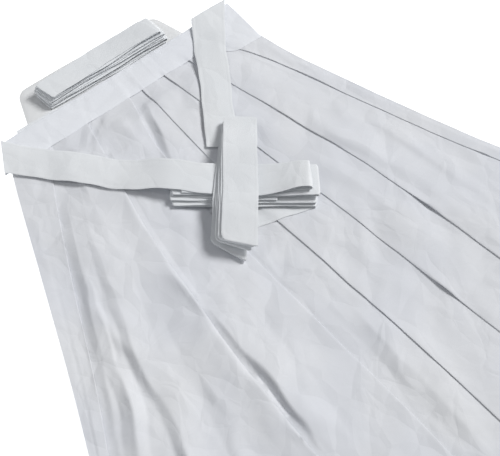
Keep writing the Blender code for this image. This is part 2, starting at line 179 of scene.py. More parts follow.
def points_at(x: Array, down: Array, z: Array) -> Array:
    """Points of the garment in the frame, as an array of x, y and z."""
    return np.stack(np.broadcast_arrays(x, TOP_Y - down, z), axis=-1)


def side_edge(x: Array | float, down: Array | float) -> Array:
    """How far the front's side edge is from the centre line, on the side of x."""
    left = along_stations(LEFT_LEG_LINES["side edge"], down)
    right = along_stations(RIGHT_LEG_LINES["side edge"], down)
    return np.where(np.asarray(x) > 0, left, right)


def front_base(x: Array | float, down: Array | float) -> Array:
    """Underside of the front's lowest ply."""
    x, down = np.asarray(x, float), np.asarray(down, float)
    plateau = np.where(x > 0, along_stations(LEFT_PLATEAU, down), along_stations(RIGHT_PLATEAU, down))
    edge = side_edge(x, down)
    middle = ease((edge - np.abs(x)) / (edge - plateau))
    waist = 1 - ease((down - WAIST_LIFT_FROM) / (WAIST_LIFT_TO - WAIST_LIFT_FROM))
    droop = WAIST_END_DROOP * ease((np.abs(x) - WAIST_END_FROM) / WAIST_END_LENGTH)
    held = np.maximum(middle, waist * (1 - droop))
    return mix(FRONT_SIDE, FRONT_MIDDLE, held) + WAIST_LIFT * waist


@dataclass(frozen=True)
class Crease:
    """Soft fold of the cloth.

    Its marks along the crest are x and down in metres and the height in millimetres. The cloth
    falls away over the widths left and right of it, more crisply with a larger crisp share.
    """

    marks: tuple[tuple[float, float, float], ...]
    left: float
    right: float
    crisp: float = 0.0
    steps: int = 40
    reach_share: float = 3.2
    tent_share: float = 0.62

    def line(self) -> tuple[Array, Array, Array]:
        """x, down and height at even steps along the smooth crest."""
        marks = np.array(self.marks, float)
        along = np.concatenate([[0], np.cumsum(np.hypot(*np.diff(marks[:, :2], axis=0).T))])
        at_steps = np.linspace(0, along[-1], self.steps)
        keys = tuple(along)
        x, down, height = (smooth_table(keys, tuple(marks[:, c]), at_steps) for c in range(3))
        return x, down, height / 1000

    def lift(self, x: Array, down: Array) -> Array:
        """How far the crease lifts the cloth.

        Args:
            x: places across the garment.
            down: places down the garment.

        Returns:
            The lift in metres, which fades with the distance on either side of the crest.
        """
        cx, cd, ch = self.line()
        lift = np.zeros_like(x)
        reach = self.reach_share * max(self.left, self.right)
        near = (x > cx.min() - reach) & (x < cx.max() + reach)
        near &= (down > cd.min() - reach) & (down < cd.max() + reach)
        if not near.any():
            return lift
        px, pd = x[near], down[near]
        best = np.full(px.shape, np.inf)
        side = np.zeros_like(px)
        height = np.zeros_like(px)
        for i in range(len(cx) - 1):
            sx, sd = cx[i + 1] - cx[i], cd[i + 1] - cd[i]
            size = sx * sx + sd * sd
            share = np.clip(((px - cx[i]) * sx + (pd - cd[i]) * sd) / size, 0, 1)
            gx, gd = px - (cx[i] + share * sx), pd - (cd[i] + share * sd)
            far = np.hypot(gx, gd)
            closer = far < best
            best = np.where(closer, far, best)
            side = np.where(closer, gx * sd - gd * sx, side)
            height = np.where(closer, mix(ch[i], ch[i + 1], share), height)
        width = np.where(side > 0, self.right, self.left)
        soft = np.exp(-(best / width) ** 2)
        tent = np.clip(1 - self.tent_share * best / width, 0, 1)
        lift[near] = height * mix(soft, tent, self.crisp)
        return lift


@dataclass(frozen=True)
class SoftRelief:
    """Uneven waves that cloth keeps after it was folded away, with soft ridges or plain."""

    seed: int
    cell_across: float
    cell_down: float
    height: float
    turn: float = 0.0
    ridged: float = 0.0
    swirl: float = 0.35
    ridge_softness: float = 0.006

    def lift(self, x: Array, down: Array) -> Array:
        """Lift at each place, from 0 to the height."""
        grid = np.random.default_rng(self.seed).random((CELLS + 1, CELLS + 1))
        cos, sin = math.cos(math.radians(self.turn)), math.sin(math.radians(self.turn))
        u = (x * cos - down * sin) / self.cell_across
        v = (x * sin + down * cos) / self.cell_down
        swirled_u = u + self.swirl * np.sin(v * 1.3) + MIDDLE_CELL
        swirled_v = v + self.swirl * np.sin(u * 1.1) + MIDDLE_CELL
        u, v = swirled_u, swirled_v
        i, j = np.floor(u).astype(int) % CELLS, np.floor(v).astype(int) % CELLS
        s, t = ease(u - np.floor(u)), ease(v - np.floor(v))
        low = mix(grid[j, i], grid[j, i + 1], s)
        high = mix(grid[j + 1, i], grid[j + 1, i + 1], s)
        wave = mix(low, high, t)
        ridge = 1.0 - np.sqrt((2 * wave - 1) ** 2 + self.ridge_softness)
        return self.height * mix(wave, ridge, self.ridged)


@dataclass(frozen=True)
class Crumple:
    """Flat facets that meet in crisp shallow lines, as cloth has after it was folded small."""

    seed: int
    cell_across: float
    cell_down: float
    height: float
    turn: float = 0.0

    def lift(self, x: Array, down: Array) -> Array:
        """Lift at each place, lowest on the lines between the facets."""
        jitter = np.random.default_rng(self.seed).random((CELLS, CELLS, 2))
        cos, sin = math.cos(math.radians(self.turn)), math.sin(math.radians(self.turn))
        u = (x * cos - down * sin) / self.cell_across + MIDDLE_CELL
        v = (x * sin + down * cos) / self.cell_down + MIDDLE_CELL
        i, j = np.floor(u).astype(int), np.floor(v).astype(int)
        nearest, next_nearest = np.full(u.shape, np.inf), np.full(u.shape, np.inf)
        for a in (-1, 0, 1):
            for b in (-1, 0, 1):
                spot = jitter[(j + b) % CELLS, (i + a) % CELLS]
                far = np.hypot(i + a + spot[..., 0] - u, j + b + spot[..., 1] - v)
                next_nearest = np.minimum(next_nearest, np.maximum(nearest, far))
                nearest = np.minimum(nearest, far)
        return self.height * np.minimum(next_nearest - nearest, 1.0)


# Creases that all plies follow: their marks, their widths left and right and their crisp share
SHARED_CREASES = (
    Crease(((-0.115, 0.075, 0.0), (-0.1448, 0.157, 2.2), (-0.1628, 0.214, 3.4), (-0.173, 0.264, 4.0),
            (-0.185, 0.292, 3.4), (-0.194, 0.33, 0.0)), 0.011, 0.024, 0.7),
    Crease(((-0.176, 0.27, 0.0), (-0.185, 0.292, 3.0), (-0.1889, 0.308, 5.6), (-0.1944, 0.338, 4.8),
            (-0.196, 0.369, 2.8), (-0.2094, 0.42, 6.6), (-0.22, 0.49, 4.4), (-0.24, 0.62, 2.0),
            (-0.265, 0.76, 0.0)), 0.0062, 0.024, 0.7),
    Crease(((-0.17, 0.165, 0.0), (-0.1885, 0.23, 2.0), (-0.1981, 0.266, 2.6), (-0.2105, 0.298, 3.4),
            (-0.2155, 0.324, 5.2), (-0.2265, 0.355, 6.4), (-0.242, 0.38, 4.2), (-0.256, 0.415, 1.4),
            (-0.27, 0.46, 0.0)), 0.0078, 0.0075, 0.9),
    Crease(((-0.17, 0.04, 0.0), (-0.196, 0.1, 1.6), (-0.23, 0.2, 3.2), (-0.264, 0.3, 3.6),
            (-0.301, 0.4, 3.0), (-0.356, 0.55, 2.2), (-0.44, 0.82, 0.0)), 0.01, 0.0165, 0.3),
    Crease(((-0.142, 0.1, 0.0), (-0.163, 0.15, 2.2), (-0.1835, 0.2, 3.2), (-0.2122, 0.27, 3.6),
            (-0.2377, 0.33, 2.8), (-0.2597, 0.38, 1.2), (-0.2787, 0.43, 0.4), (-0.2957, 0.48, 0.0)),
           0.0072, 0.009, 0.8),
    Crease(((-0.092, 0.1, 0.0), (-0.095, 0.15, 1.4), (-0.101, 0.21, 2.6), (-0.1075, 0.285, 3.6),
            (-0.115, 0.34, 4.2), (-0.114, 0.39, 4.0), (-0.112, 0.429, 3.6), (-0.112, 0.496, 2.8),
            (-0.115, 0.6, 1.6), (-0.118, 0.76, 0.6), (-0.12, 0.85, 0.0)), 0.026, 0.004),
    Crease(((-0.1075, 0.245, 0.0), (-0.1055, 0.27, 2.8), (-0.1045, 0.302, 4.8), (-0.1035, 0.334, 6.0),
            (-0.102, 0.364, 7.2), (-0.0985, 0.39, 8.6), (-0.0975, 0.418, 8.6), (-0.101, 0.46, 6.6),
            (-0.105, 0.49, 3.6), (-0.107, 0.53, 0.0)), 0.0052, 0.036, 0.4),
    Crease(((-0.0005, 0.05, 0.9), (-0.0029, 0.067, 3.0), (-0.0122, 0.099, 5.0), (-0.0229, 0.137, 5.0),
            (-0.03, 0.17, 0.0)), 0.0056, 0.017, 0.8),
    Crease(((0.006, 0.31, 0.0), (0.011, 0.357, 1.6), (0.0165, 0.411, 2.6), (0.018, 0.476, 3.2),
            (0.0195, 0.54, 3.2), (0.023, 0.68, 0.0)), 0.011, 0.024, 0.9),
    Crease(((-0.0303, 0.042, 1.4), (-0.051, 0.05, 2.8), (-0.0756, 0.064, 2.6), (-0.09, 0.09, 0.0)),
           0.0036, 0.018, 1.0),
    Crease(((-0.036, 0.052, 0.8), (-0.04, 0.075, 2.0), (-0.042, 0.098, 1.4), (-0.044, 0.12, 0.0)),
           0.01, 0.0036, 1.0),
    Crease(((-0.1, 0.048, 0.8), (-0.108, 0.078, 2.2), (-0.118, 0.112, 1.6), (-0.126, 0.14, 0.0)),
           0.005, 0.014, 0.9),
    Crease(((-0.082, 0.092, 0.0), (-0.06, 0.097, 1.6), (-0.038, 0.106, 0.8), (-0.03, 0.112, 0.0)),
           0.009, 0.004, 1.0),
    Crease(((0.054, 0.06, 0.0), (0.05, 0.11, 1.8), (0.064, 0.16, 2.2), (0.076, 0.22, 0.0)),
           0.012, 0.016, 0.8),
    Crease(((0.105, 0.24, 0.0), (0.118, 0.29, 1.8), (0.126, 0.35, 2.0), (0.142, 0.42, 0.0)),
           0.014, 0.016, 0.8),
    Crease(((-0.064, 0.18, 0.0), (-0.052, 0.235, 2.0), (-0.05, 0.29, 1.8), (-0.04, 0.36, 0.0)),
           0.016, 0.012, 0.8),
)

# Creases of the cloth that lies on top, in the same way
TOP_CREASES = (
    Crease(((0.132, 0.135, 0.0), (0.1405, 0.185, 1.1), (0.1459, 0.239, 1.5), (0.1637, 0.293, 1.7),
            (0.1791, 0.35, 1.7), (0.1844, 0.412, 1.3), (0.2, 0.5, 0.6), (0.22, 0.6, 0.0)),
           0.005, 0.016),
    Crease(((0.186, 0.225, 0.0), (0.1947, 0.262, 1.2), (0.2065, 0.313, 1.5), (0.2163, 0.355, 1.3),
            (0.2254, 0.413, 0.9), (0.235, 0.48, 0.0)), 0.007, 0.014),
    Crease(((0.1763, 0.185, 0.0), (0.17, 0.208, 0.9), (0.1631, 0.235, 0.0)), 0.006, 0.012),
    Crease(((0.137, 0.07, 0.5), (0.1505, 0.105, 0.9), (0.158, 0.118, 0.0)), 0.003, 0.0045),
    Crease(((0.15, 0.088, 0.4), (0.164, 0.122, 1.0), (0.1776, 0.153, 1.0), (0.1929, 0.2, 0.0)),
           0.003, 0.005),
    Crease(((0.164, 0.073, 0.3), (0.1807, 0.129, 1.0), (0.1832, 0.152, 0.9), (0.2023, 0.2, 0.0)),
           0.0035, 0.008),
    Crease(((0.254, 0.35, 0.0), (0.268, 0.353, 1.6), (0.286, 0.355, 1.8)), 0.005, 0.007),
    Crease(((0.0769, 0.388, 0.0), (0.06, 0.4, 1.2), (0.039, 0.414, 0.0)), 0.006, 0.01),
    Crease(((0.1299, 0.382, 0.0), (0.118, 0.391, 0.9), (0.1041, 0.398, 0.0)), 0.006, 0.008),
    Crease(((-0.04, 0.35, 0.0), (-0.056, 0.372, 0.9), (-0.0918, 0.402, 0.0)), 0.006, 0.01),
    Crease(((-0.0141, 0.288, 0.3), (-0.02, 0.3, 0.8), (-0.0252, 0.313, 0.0)), 0.0022, 0.0035),
    Crease(((-0.017, 0.298, 0.0), (-0.019, 0.312, 0.8), (-0.0221, 0.331, 0.0)), 0.0025, 0.0035),
    Crease(((-0.127, 0.428, 0.0), (-0.13, 0.455, 1.2), (-0.1322, 0.49, 0.8), (-0.133, 0.53, 0.0)),
           0.0025, 0.005),
    Crease(((-0.1221, 0.436, 0.0), (-0.116, 0.465, 1.3), (-0.1094, 0.494, 0.6), (-0.106, 0.52, 0.0)),
           0.0025, 0.0045),
    Crease(((-0.19, 0.24, 0.0), (-0.1935, 0.268, 1.2), (-0.192, 0.292, 1.6), (-0.187, 0.308, 0.0)),
           0.006, 0.005),
    Crease(((-0.1432, 0.33, 0.0), (-0.13, 0.338, 0.7), (-0.115, 0.345, 0.0)), 0.003, 0.005),
    Crease(((-0.1474, 0.35, 0.0), (-0.1515, 0.383, 0.9), (-0.1504, 0.43, 0.0)), 0.004, 0.007),
    Crease(((-0.0746, 0.044, 0.7), (-0.086, 0.058, 0.9), (-0.0959, 0.076, 0.0)), 0.0025, 0.006),
    Crease(((-0.0546, 0.048, 0.5), (-0.044, 0.053, 0.8), (-0.0344, 0.057, 0.0)), 0.0025, 0.005),
    Crease(((-0.0829, 0.092, 0.0), (-0.058, 0.098, 0.9), (-0.0331, 0.106, 0.0)), 0.0035, 0.006),
    Crease(((-0.032, 0.041, 1.0), (-0.054, 0.048, 1.2), (-0.077, 0.062, 0.0)), 0.003, 0.004),
    Crease(((0.135, 0.15, 0.0), (0.136, 0.2, 0.9), (0.142, 0.26, 0.0)), 0.006, 0.011),
)

RELIEFS = (
    SoftRelief(seed=11, cell_across=0.050, cell_down=0.085, height=0.0040, turn=18.0),
    SoftRelief(seed=23, cell_across=0.038, cell_down=0.062, height=0.0016, turn=-24.0, ridged=1.0),
    SoftRelief(seed=37, cell_across=0.017, cell_down=0.028, height=0.0004, turn=40.0, ridged=0.6),
    Crumple(seed=71, cell_across=0.062, cell_down=0.090, height=0.0020, turn=-15.0),
    Crumple(seed=83, cell_across=0.030, cell_down=0.042, height=0.0007, turn=30.0),
)

# How far the creases wander sideways and down, and how their height varies
WANDER_ACROSS = SoftRelief(seed=91, cell_across=0.020, cell_down=0.032, height=0.0050)
WANDER_DOWN = SoftRelief(seed=92, cell_across=0.024, cell_down=0.026, height=0.0050)
UNEVEN = SoftRelief(seed=93, cell_across=0.045, cell_down=0.040, height=0.7)

# How far each fold's edge stands open: down in metres and height in millimetres
FOLD_OPENINGS = {
    "left centre fold": (
        (0.0, 0.2), (0.048, 0.9), (0.08, 0.3), (0.20, 0.2), (0.30, 0.7), (0.50, 0.7), (0.945, 0.4),
    ),
    "left second fold": (
        (0.0, 0.2), (0.048, 1.0), (0.08, 0.3), (0.30, 0.2), (0.40, 0.4), (0.425, 1.2), (0.448, 2.9),
        (0.468, 0.7), (0.55, 0.5), (0.945, 0.4),
    ),
    "left third fold": (
        (0.0, 0.2), (0.046, 1.0), (0.075, 0.2), (0.13, 0.2), (0.17, 0.9), (0.20, 1.1), (0.24, 0.3),
        (0.335, 0.3), (0.350, 1.4), (0.367, 3.0), (0.386, 0.9), (0.45, 0.6), (0.945, 0.4),
    ),
    "left side fold": ((0.0, 0.0), (0.15, 0.0), (0.30, 0.0), (0.945, 0.2)),
    "right centre fold": (
        (0.0, 0.0), (0.08, 0.9), (0.15, 0.4), (0.22, 0.0), (0.34, 0.0), (0.45, 0.2), (0.945, 0.4),
    ),
    "right second fold": (
        (0.0, 0.0), (0.10, 0.4), (0.25, 0.8), (0.34, 1.6), (0.42, 1.6), (0.52, 1.0), (0.945, 0.4),
    ),
    "right side fold": ((0.0, 0.0), (0.10, 0.5), (0.20, 1.1), (0.40, 1.1), (0.945, 0.5)),
}
OPENING_WIDTH = 0.016

# The lifts start below the band, and are calmer near the side edges and under the crossed stacks
SETTLE_FROM = 0.043
SETTLE_LENGTH = 0.030
TOP_SETTLE_LENGTH = 0.006
EDGE_CALM = 0.4
EDGE_CALM_WIDTH = 0.090
STACKS_AT = (0.015, 0.2225)
STACK_CALM = 0.3
STACK_REACH = (0.045, 0.105)


def crease_lift(creases: tuple[Crease, ...], x: Array, down: Array) -> Array:
    """Lift of some creases, whose lines wander and whose height is uneven."""
    at_x = x + WANDER_ACROSS.lift(x, down) - WANDER_ACROSS.height / 2
    at_down = down + WANDER_DOWN.lift(x, down) - WANDER_DOWN.height / 2
    total = sum(crease.lift(at_x, at_down) for crease in creases)
    return total * (1 + UNEVEN.lift(x, down) - UNEVEN.height / 2)


def shared_lift(x: Array, down: Array) -> Array:
    """Lift that all plies of the front follow, none under the band, where the seam holds it."""
    total = crease_lift(SHARED_CREASES, x, down)
    calm = mix(EDGE_CALM, 1.0, ease((side_edge(x, down) - np.abs(x)) / EDGE_CALM_WIDTH))
    far = np.hypot(x - STACKS_AT[0], down - STACKS_AT[1])
    calm = calm * mix(STACK_CALM, 1.0, ease((far - STACK_REACH[0]) / (STACK_REACH[1] - STACK_REACH[0])))
    total = total + calm * sum(relief.lift(x, down) for relief in RELIEFS)
    return total * ease((down - SETTLE_FROM) / SETTLE_LENGTH)


def top_lift(x: Array, down: Array) -> Array:
    """Lift of the cloth that lies on top only, from just below the band's lower edge."""
    return crease_lift(TOP_CREASES, x, down) * ease((down - BAND_DEPTH) / TOP_SETTLE_LENGTH)


def under_front(x: Array, down: Array) -> Array:
    """Lowest underside of the front within a short reach of x."""
    return np.min([front_base(x + reach, down) for reach in (-REACH, 0.0, REACH)], axis=0)


def band_foot(x: Array | float) -> Array:
    """Distance down of the band's lower edge, deeper at the corner on the right."""
    corner = ease((x - BAND_CORNER_FROM) / (BAND_CORNER_TO - BAND_CORNER_FROM))
    return BAND_DEPTH + BAND_CORNER_DROP * corner


class Lie:
    """Height of all that lies on the surface so far, on a fine grid near the waist."""

    CELL = 0.001
    LEFT, RIGHT = -0.240, 0.240
    HIGH, LOW = -0.012, 0.340

    def __init__(self) -> None:
        """Start with the bare surface."""
        self.columns = round((self.RIGHT - self.LEFT) / self.CELL)
        self.rows = round((self.LOW - self.HIGH) / self.CELL)
        self.height = np.zeros((self.rows, self.columns))

    def add(self, points: Array, half_wall: float, fine: tuple[int, int] = (4, 8)) -> None:
        """Take in a sheet.

        Args:
            points: rows by columns of the sheet's mid-surface.
            half_wall: half its wall.
            fine: steps between two rows and between two columns.
        """
        near = (TOP_Y - points[..., 1]).min(axis=1) < self.LOW + 0.01
        points = points[: np.nonzero(near)[0][-1] + 1]
        for a in range(fine[0]):
            rows = mix(points[:-1], points[1:], a / fine[0])
            for b in range(fine[1]):
                spots = mix(rows[:, :-1], rows[:, 1:], b / fine[1]).reshape(-1, 3)
                i = np.rint((spots[:, 0] - self.LEFT) / self.CELL).astype(int)
                j = np.rint((TOP_Y - spots[:, 1] - self.HIGH) / self.CELL).astype(int)
                inside = (i >= 0) & (i < self.columns) & (j >= 0) & (j < self.rows)
                np.maximum.at(self.height, (j[inside], i[inside]), spots[inside, 2] + half_wall)

    def draped(self, reach: int, blur: int) -> Array:
        """Heights bridged over a reach and smoothed, both in cells."""
        surface = self.height
        for axis in (0, 1):
            surface = np.max([np.roll(surface, step, axis) for step in range(-reach, reach + 1)], axis=0)
        for axis in (0, 1):
            surface = np.mean([np.roll(surface, step, axis) for step in range(-blur, blur + 1)], axis=0)
        return surface

    def sample(self, surface: Array, x: Array | float, down: Array | float) -> Array:
        """Height of a surface at places on the garment."""
        u = np.clip((np.asarray(x) - self.LEFT) / self.CELL, 0, self.columns - 1.001)
        v = np.clip((np.asarray(down) - self.HIGH) / self.CELL, 0, self.rows - 1.001)
        i, j = np.floor(u).astype(int), np.floor(v).astype(int)
        low = mix(surface[j, i], surface[j, i + 1], u - i)
        high = mix(surface[j + 1, i], surface[j + 1, i + 1], u - i)
        return mix(low, high, v - j)


LIE = Lie()
TIE_RELIEF = SoftRelief(seed=51, cell_across=0.034, cell_down=0.024, height=0.0020, turn=12.0, ridged=0.5)


class Socket:
    """Output socket of a node, whose operators add Math nodes."""

    def __init__(self, maker: "NodeMaker", socket: bpy.types.NodeSocket) -> None:
        """Wrap a socket of the maker's tree."""
        self.maker = maker
        self.socket = socket

    def math(self, operation: str, *others: "Socket | float") -> "Socket":
        """Math node on this value and others."""
        return self.maker.node("ShaderNodeMath", {"operation": operation}, dict(enumerate((self, *others))))

    def __add__(self, other: "Socket | float") -> "Socket":
        """Sum."""
        return self.math("ADD", other)

    __radd__ = __add__

    def __mul__(self, other: "Socket | float") -> "Socket":
        """Product."""
        return self.math("MULTIPLY", other)

    __rmul__ = __mul__

    def sine(self) -> "Socket":
        """Sine of the value."""
        return self.math("SINE")

    def band(self, low: float, high: float) -> "Socket":
        """0 below low and 1 above high, with a soft step between."""
        settings = {"interpolation_type": "SMOOTHSTEP"}
        sockets = {"Value": self, "From Min": low, "From Max": high}
        return self.maker.node("ShaderNodeMapRange", settings, sockets)


class NodeMaker:
    """Makes the nodes of one material."""

    def __init__(self, name: str) -> None:
        """Start a new material with its shader."""
        self.material = bpy.data.materials.new(name)
        self.material.use_nodes = True
        self.tree = self.material.node_tree
        self.shader = self.tree.nodes["Principled BSDF"]

    def node(
        self,
        kind: str,
        settings: dict[str, object] | None = None,
        sockets: dict[str | int, object] | None = None,
        output: str | int = 0,
    ) -> Socket:
        """Make a node.

        Args:
            kind: the node's type.
            settings: its settings, which are set first.
            sockets: the values or links of its sockets.
            output: the output that is wanted.

        Returns:
            That output, wrapped.
        """
        made = self.tree.nodes.new(kind)
        for key, value in (settings or {}).items():
            setattr(made, key, value)
        for key, value in (sockets or {}).items():
            self.set(made.inputs[key], value)
        return Socket(self, made.outputs[output])

    def set(self, socket: bpy.types.NodeSocket, value: object) -> None:
        """Give a socket its value or its link."""
        if isinstance(value, Socket):
            self.tree.links.new(value.socket, socket)
        else:
            socket.default_value = value

    def noise(self, vector: Socket, scale: float, detail: float, roughness: float = 0.5) -> Socket:
        """Soft noise, as a number."""
        sockets = {"Vector": vector, "Scale": scale, "Detail": detail, "Roughness": roughness}
        return self.node("ShaderNodeTexNoise", {}, sockets)

    def colour_mix(self, share: Socket, first: object, second: object) -> Socket:
        """Colour between two colours."""
        made = self.tree.nodes.new("ShaderNodeMix")
        made.data_type = "RGBA"
        self.set(made.inputs["Factor"], share)
        colours = [s for s in made.inputs if s.type == "RGBA"]
        self.set(colours[0], first)
        self.set(colours[1], second)
        return Socket(self, next(s for s in made.outputs if s.type == "RGBA"))


@dataclass(frozen=True)
class PlainWeave:
    """Finish of plain-woven white cloth, with its colours as red, green and blue."""

    name: str
    light: tuple[float, float, float]
    shade: tuple[float, float, float]
    warm: tuple[float, float, float]
    thread: float = 0.00055
    relief: float = 0.00006
    crumple: float = 0.0024
    roughness: float = 0.72
    uneven_roughness: float = 0.14
    sheen: float = 0.20
    sheen_roughness: float = 0.45
    specular: float = 0.32
    thread_grey: tuple[float, float, float, float] = (0.55, 0.57, 0.62, 1.0)
    grey_share: float = 0.035
    warm_share: float = 0.6
    cloud_scale: float = 9.0
    patch_scale: float = 4.2
    slub_scales: tuple[float, float] = (60.0, 2600.0)
    wander_scale: float = 13.0
    depth_scale: float = 8.0
    facet_scale: float = 21.0
    small_facet_scale: float = 52.0
    small_facet_share: float = 0.30
    bump_strength: float = 0.55

    def material(self) -> bpy.types.Material:
        """Make the cloth's material, whose threads follow the cloth's own measure."""
        m = NodeMaker(self.name)
        measure = m.node("ShaderNodeUVMap", {"uv_map": "UVMap"})
        place = m.node("ShaderNodeTexCoord", output="Object")
        slubs = self.slubs(m, measure)
        clouds = m.noise(place, self.cloud_scale, 3.0, 0.55)
        patches = m.noise(place, self.patch_scale, 2.0)
        colour = m.colour_mix(clouds.band(0.38, 0.62), (*self.shade, 1.0), (*self.light, 1.0))
        colour = m.colour_mix(patches.band(0.55, 0.75) * self.warm_share, colour, (*self.warm, 1.0))
        colour = m.colour_mix(slubs.band(0.30, 0.72) * self.grey_share, colour, self.thread_grey)
        height = self.weave(m, measure) * 0.5 + slubs * 0.8
        height = height + self.crumples(m, place) * (self.crumple / self.relief)
        sockets = {"Strength": self.bump_strength, "Distance": self.relief, "Height": height}
        m.set(m.shader.inputs["Base Color"], colour)
        least = self.roughness - self.uneven_roughness / 2
        m.set(m.shader.inputs["Roughness"], clouds * self.uneven_roughness + least)
        m.set(m.shader.inputs["Normal"], m.node("ShaderNodeBump", {}, sockets))
        m.shader.inputs["Sheen Weight"].default_value = self.sheen
        m.shader.inputs["Sheen Roughness"].default_value = self.sheen_roughness
        m.shader.inputs["Specular IOR Level"].default_value = self.specular
        return m.material

    def weave(self, m: NodeMaker, measure: Socket) -> Socket:
        """Threads that cross over and under each other."""
        parts = m.tree.nodes.new("ShaderNodeSeparateXYZ")
        m.set(parts.inputs[0], measure)
        across, down = Socket(m, parts.outputs[0]), Socket(m, parts.outputs[1])
        turn = 2 * math.pi / self.thread
        return (across * turn).sine() * (down * turn).sine()

    def slubs(self, m: NodeMaker, measure: Socket) -> Socket:
        """Uneven threads that run both ways."""
        long_scale, fine_scale = self.slub_scales
        runs = []
        for scale in ((long_scale, fine_scale, 1.0), (fine_scale, long_scale, 1.0)):
            mapped = m.node("ShaderNodeMapping", {}, {"Vector": measure, "Scale": scale})
            runs.append(m.noise(mapped, 1.0, 2.0))
        return (runs[0] + runs[1]) * 0.5

    def crumples(self, m: NodeMaker, place: Socket) -> Socket:
        """Shallow facets with crisp borders, at two sizes and uneven in depth."""
        noise = {"Vector": place, "Scale": self.wander_scale, "Detail": 2.0}
        wander = m.node("ShaderNodeTexNoise", {}, noise, "Color")
        moved = {0: wander, 1: (0.05, 0.05, 0.0), 2: place}
        around = m.node("ShaderNodeVectorMath", {"operation": "MULTIPLY_ADD"}, moved)
        depth = m.noise(place, self.depth_scale, 1.0).band(0.36, 0.62)
        to_edge = {"feature": "DISTANCE_TO_EDGE"}
        wide, small = (
            m.node("ShaderNodeTexVoronoi", to_edge, {"Vector": around, "Scale": scale})
            for scale in (self.facet_scale, self.small_facet_scale)
        )
        return wide + depth * small * self.small_facet_share


BODY_WEAVE = PlainWeave(
    "white body cloth",
    light=(0.786, 0.796, 0.824), shade=(0.758, 0.772, 0.812), warm=(0.792, 0.796, 0.802), crumple=0.0062,
)
TIE_WEAVE = PlainWeave(
    "white tie cloth",
    light=(0.848, 0.864, 0.880), shade=(0.822, 0.842, 0.862), warm=(0.850, 0.858, 0.856),
    thread=0.00050, crumple=0.0042,
)
# The band is of the same white cloth as the body; its colours are painted lighter than the body's to make up
# for the shade that falls on its sloping surface
BAND_WEAVE_PAINTED_LIGHTER = PlainWeave(
    "band cloth painted lighter",
    light=(0.880, 0.896, 0.932), shade=(0.856, 0.874, 0.918), warm=(0.882, 0.892, 0.908), crumple=0.0040,
)
BOARD_WEAVE = PlainWeave(
    "white board cloth",
    light=(0.822, 0.826, 0.828), shade=(0.802, 0.808, 0.811), warm=(0.820, 0.821, 0.815),
    relief=0.00004, crumple=0.0024,
)


@dataclass
class Cloth:
    """What a sheet of cloth is made of and held by."""

    weave: PlainWeave
    slot: Slot
    made: dict[str, bpy.types.Material] = field(default_factory=dict)

    def dress(self, piece: bpy.types.Object) -> None:
        """Give a piece this cloth's material."""
        if self.weave.name not in self.made:
            self.made[self.weave.name] = self.weave.material()
        piece.data.materials.clear()
        piece.data.materials.append(self.made[self.weave.name])


BODY_CLOTH = Cloth(BODY_WEAVE, Slot.BODY)
TIE_CLOTH = Cloth(TIE_WEAVE, Slot.TIE)
BAND_CLOTH_PAINTED_LIGHTER = Cloth(BAND_WEAVE_PAINTED_LIGHTER, Slot.TIE)
BOARD_CLOTH = Cloth(BOARD_WEAVE, Slot.BOARD)


def measured_along(points: Array, axis: int) -> Array:
    """Distance along the cloth from its first row or column, for the threads."""
    steps = np.linalg.norm(np.diff(points, axis=axis), axis=-1)
    zero = np.zeros_like(np.take(steps, [0], axis=axis))
    return np.concatenate([zero, np.cumsum(steps, axis=axis)], axis=axis)


def log_widths(name: str, points: Array) -> None:
    """Log how wide a leg's cloth is."""
    across = measured_along(points, 1)[:, -1]
    log.info("%s: cloth %.3f wide at the top and %.3f at the hem", name, across[0], across[-1])


def log_length(name: str, points: Array) -> None:
    """Log how long a tie's cloth is."""
    log.info("%s: %.3f long", name, measured_along(points, 0)[-1].mean())


def make_sheet(
    name: str,
    points: Array,
    wall: float,
    cloth: Cloth,
    thickness: Array | None = None,
    smooth_angle: float = 55.0,
    even: bool = True,
) -> bpy.types.Object:
    """Make a cloth wall round a grid of mid-surface points.

    Args:
        name: the piece's name.
        points: rows by columns by x, y and z.
        wall: the cloth's thickness.
        cloth: what it is made of.
        thickness: share of the wall at each point, 1 everywhere if it is left out.
        smooth_angle: edges sharper than this many degrees stay crisp.
        even: keep the wall's thickness at sharp bends.

    Returns:
        The finished piece, which rides on the root body.
    """
    rows, columns = points.shape[:2]
    bpy.ops.object.select_all(action="DESELECT")
    bpy.ops.mesh.primitive_grid_add(x_subdivisions=columns - 1, y_subdivisions=rows - 1, size=2)
    piece = bpy.context.object
    piece.name = piece.data.name = name
    mesh = piece.data
    flat = np.empty(len(mesh.vertices) * 3)
    mesh.vertices.foreach_get("co", flat)
    flat = flat.reshape(-1, 3)
    i = np.rint((flat[:, 0] + 1) / 2 * (columns - 1)).astype(int)
    j = np.rint((flat[:, 1] + 1) / 2 * (rows - 1)).astype(int)
    mesh.vertices.foreach_set("co", points[j, i].astype(np.float32).ravel())
    corner = np.empty(len(mesh.loops), int)
    mesh.loops.foreach_get("vertex_index", corner)
    across, down = measured_along(points, 1), measured_along(points, 0)
    uv = np.stack([across[j, i], down[j, i]], axis=-1)[corner]
    mesh.uv_layers[0].name = "UVMap"
    mesh.uv_layers[0].data.foreach_set("uv", uv.astype(np.float32).ravel())
    solidify = piece.modifiers.new("wall", "SOLIDIFY")
    solidify.thickness = wall
    solidify.offset = 0.0
    solidify.use_even_offset = even
    if thickness is not None:
        group = piece.vertex_groups.new(name="wall share")
        shares = np.round(np.broadcast_to(thickness, (rows, columns))[j, i], 3)
        for share in np.unique(shares):
            group.add(np.nonzero(shares == share)[0].tolist(), float(share), "REPLACE")
        solidify.vertex_group = group.name
    bpy.ops.object.modifier_apply(modifier="wall")
    bpy.ops.object.shade_smooth_by_angle(angle=math.radians(smooth_angle))
    cloth.dress(piece)
    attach(piece, "root")
    return piece


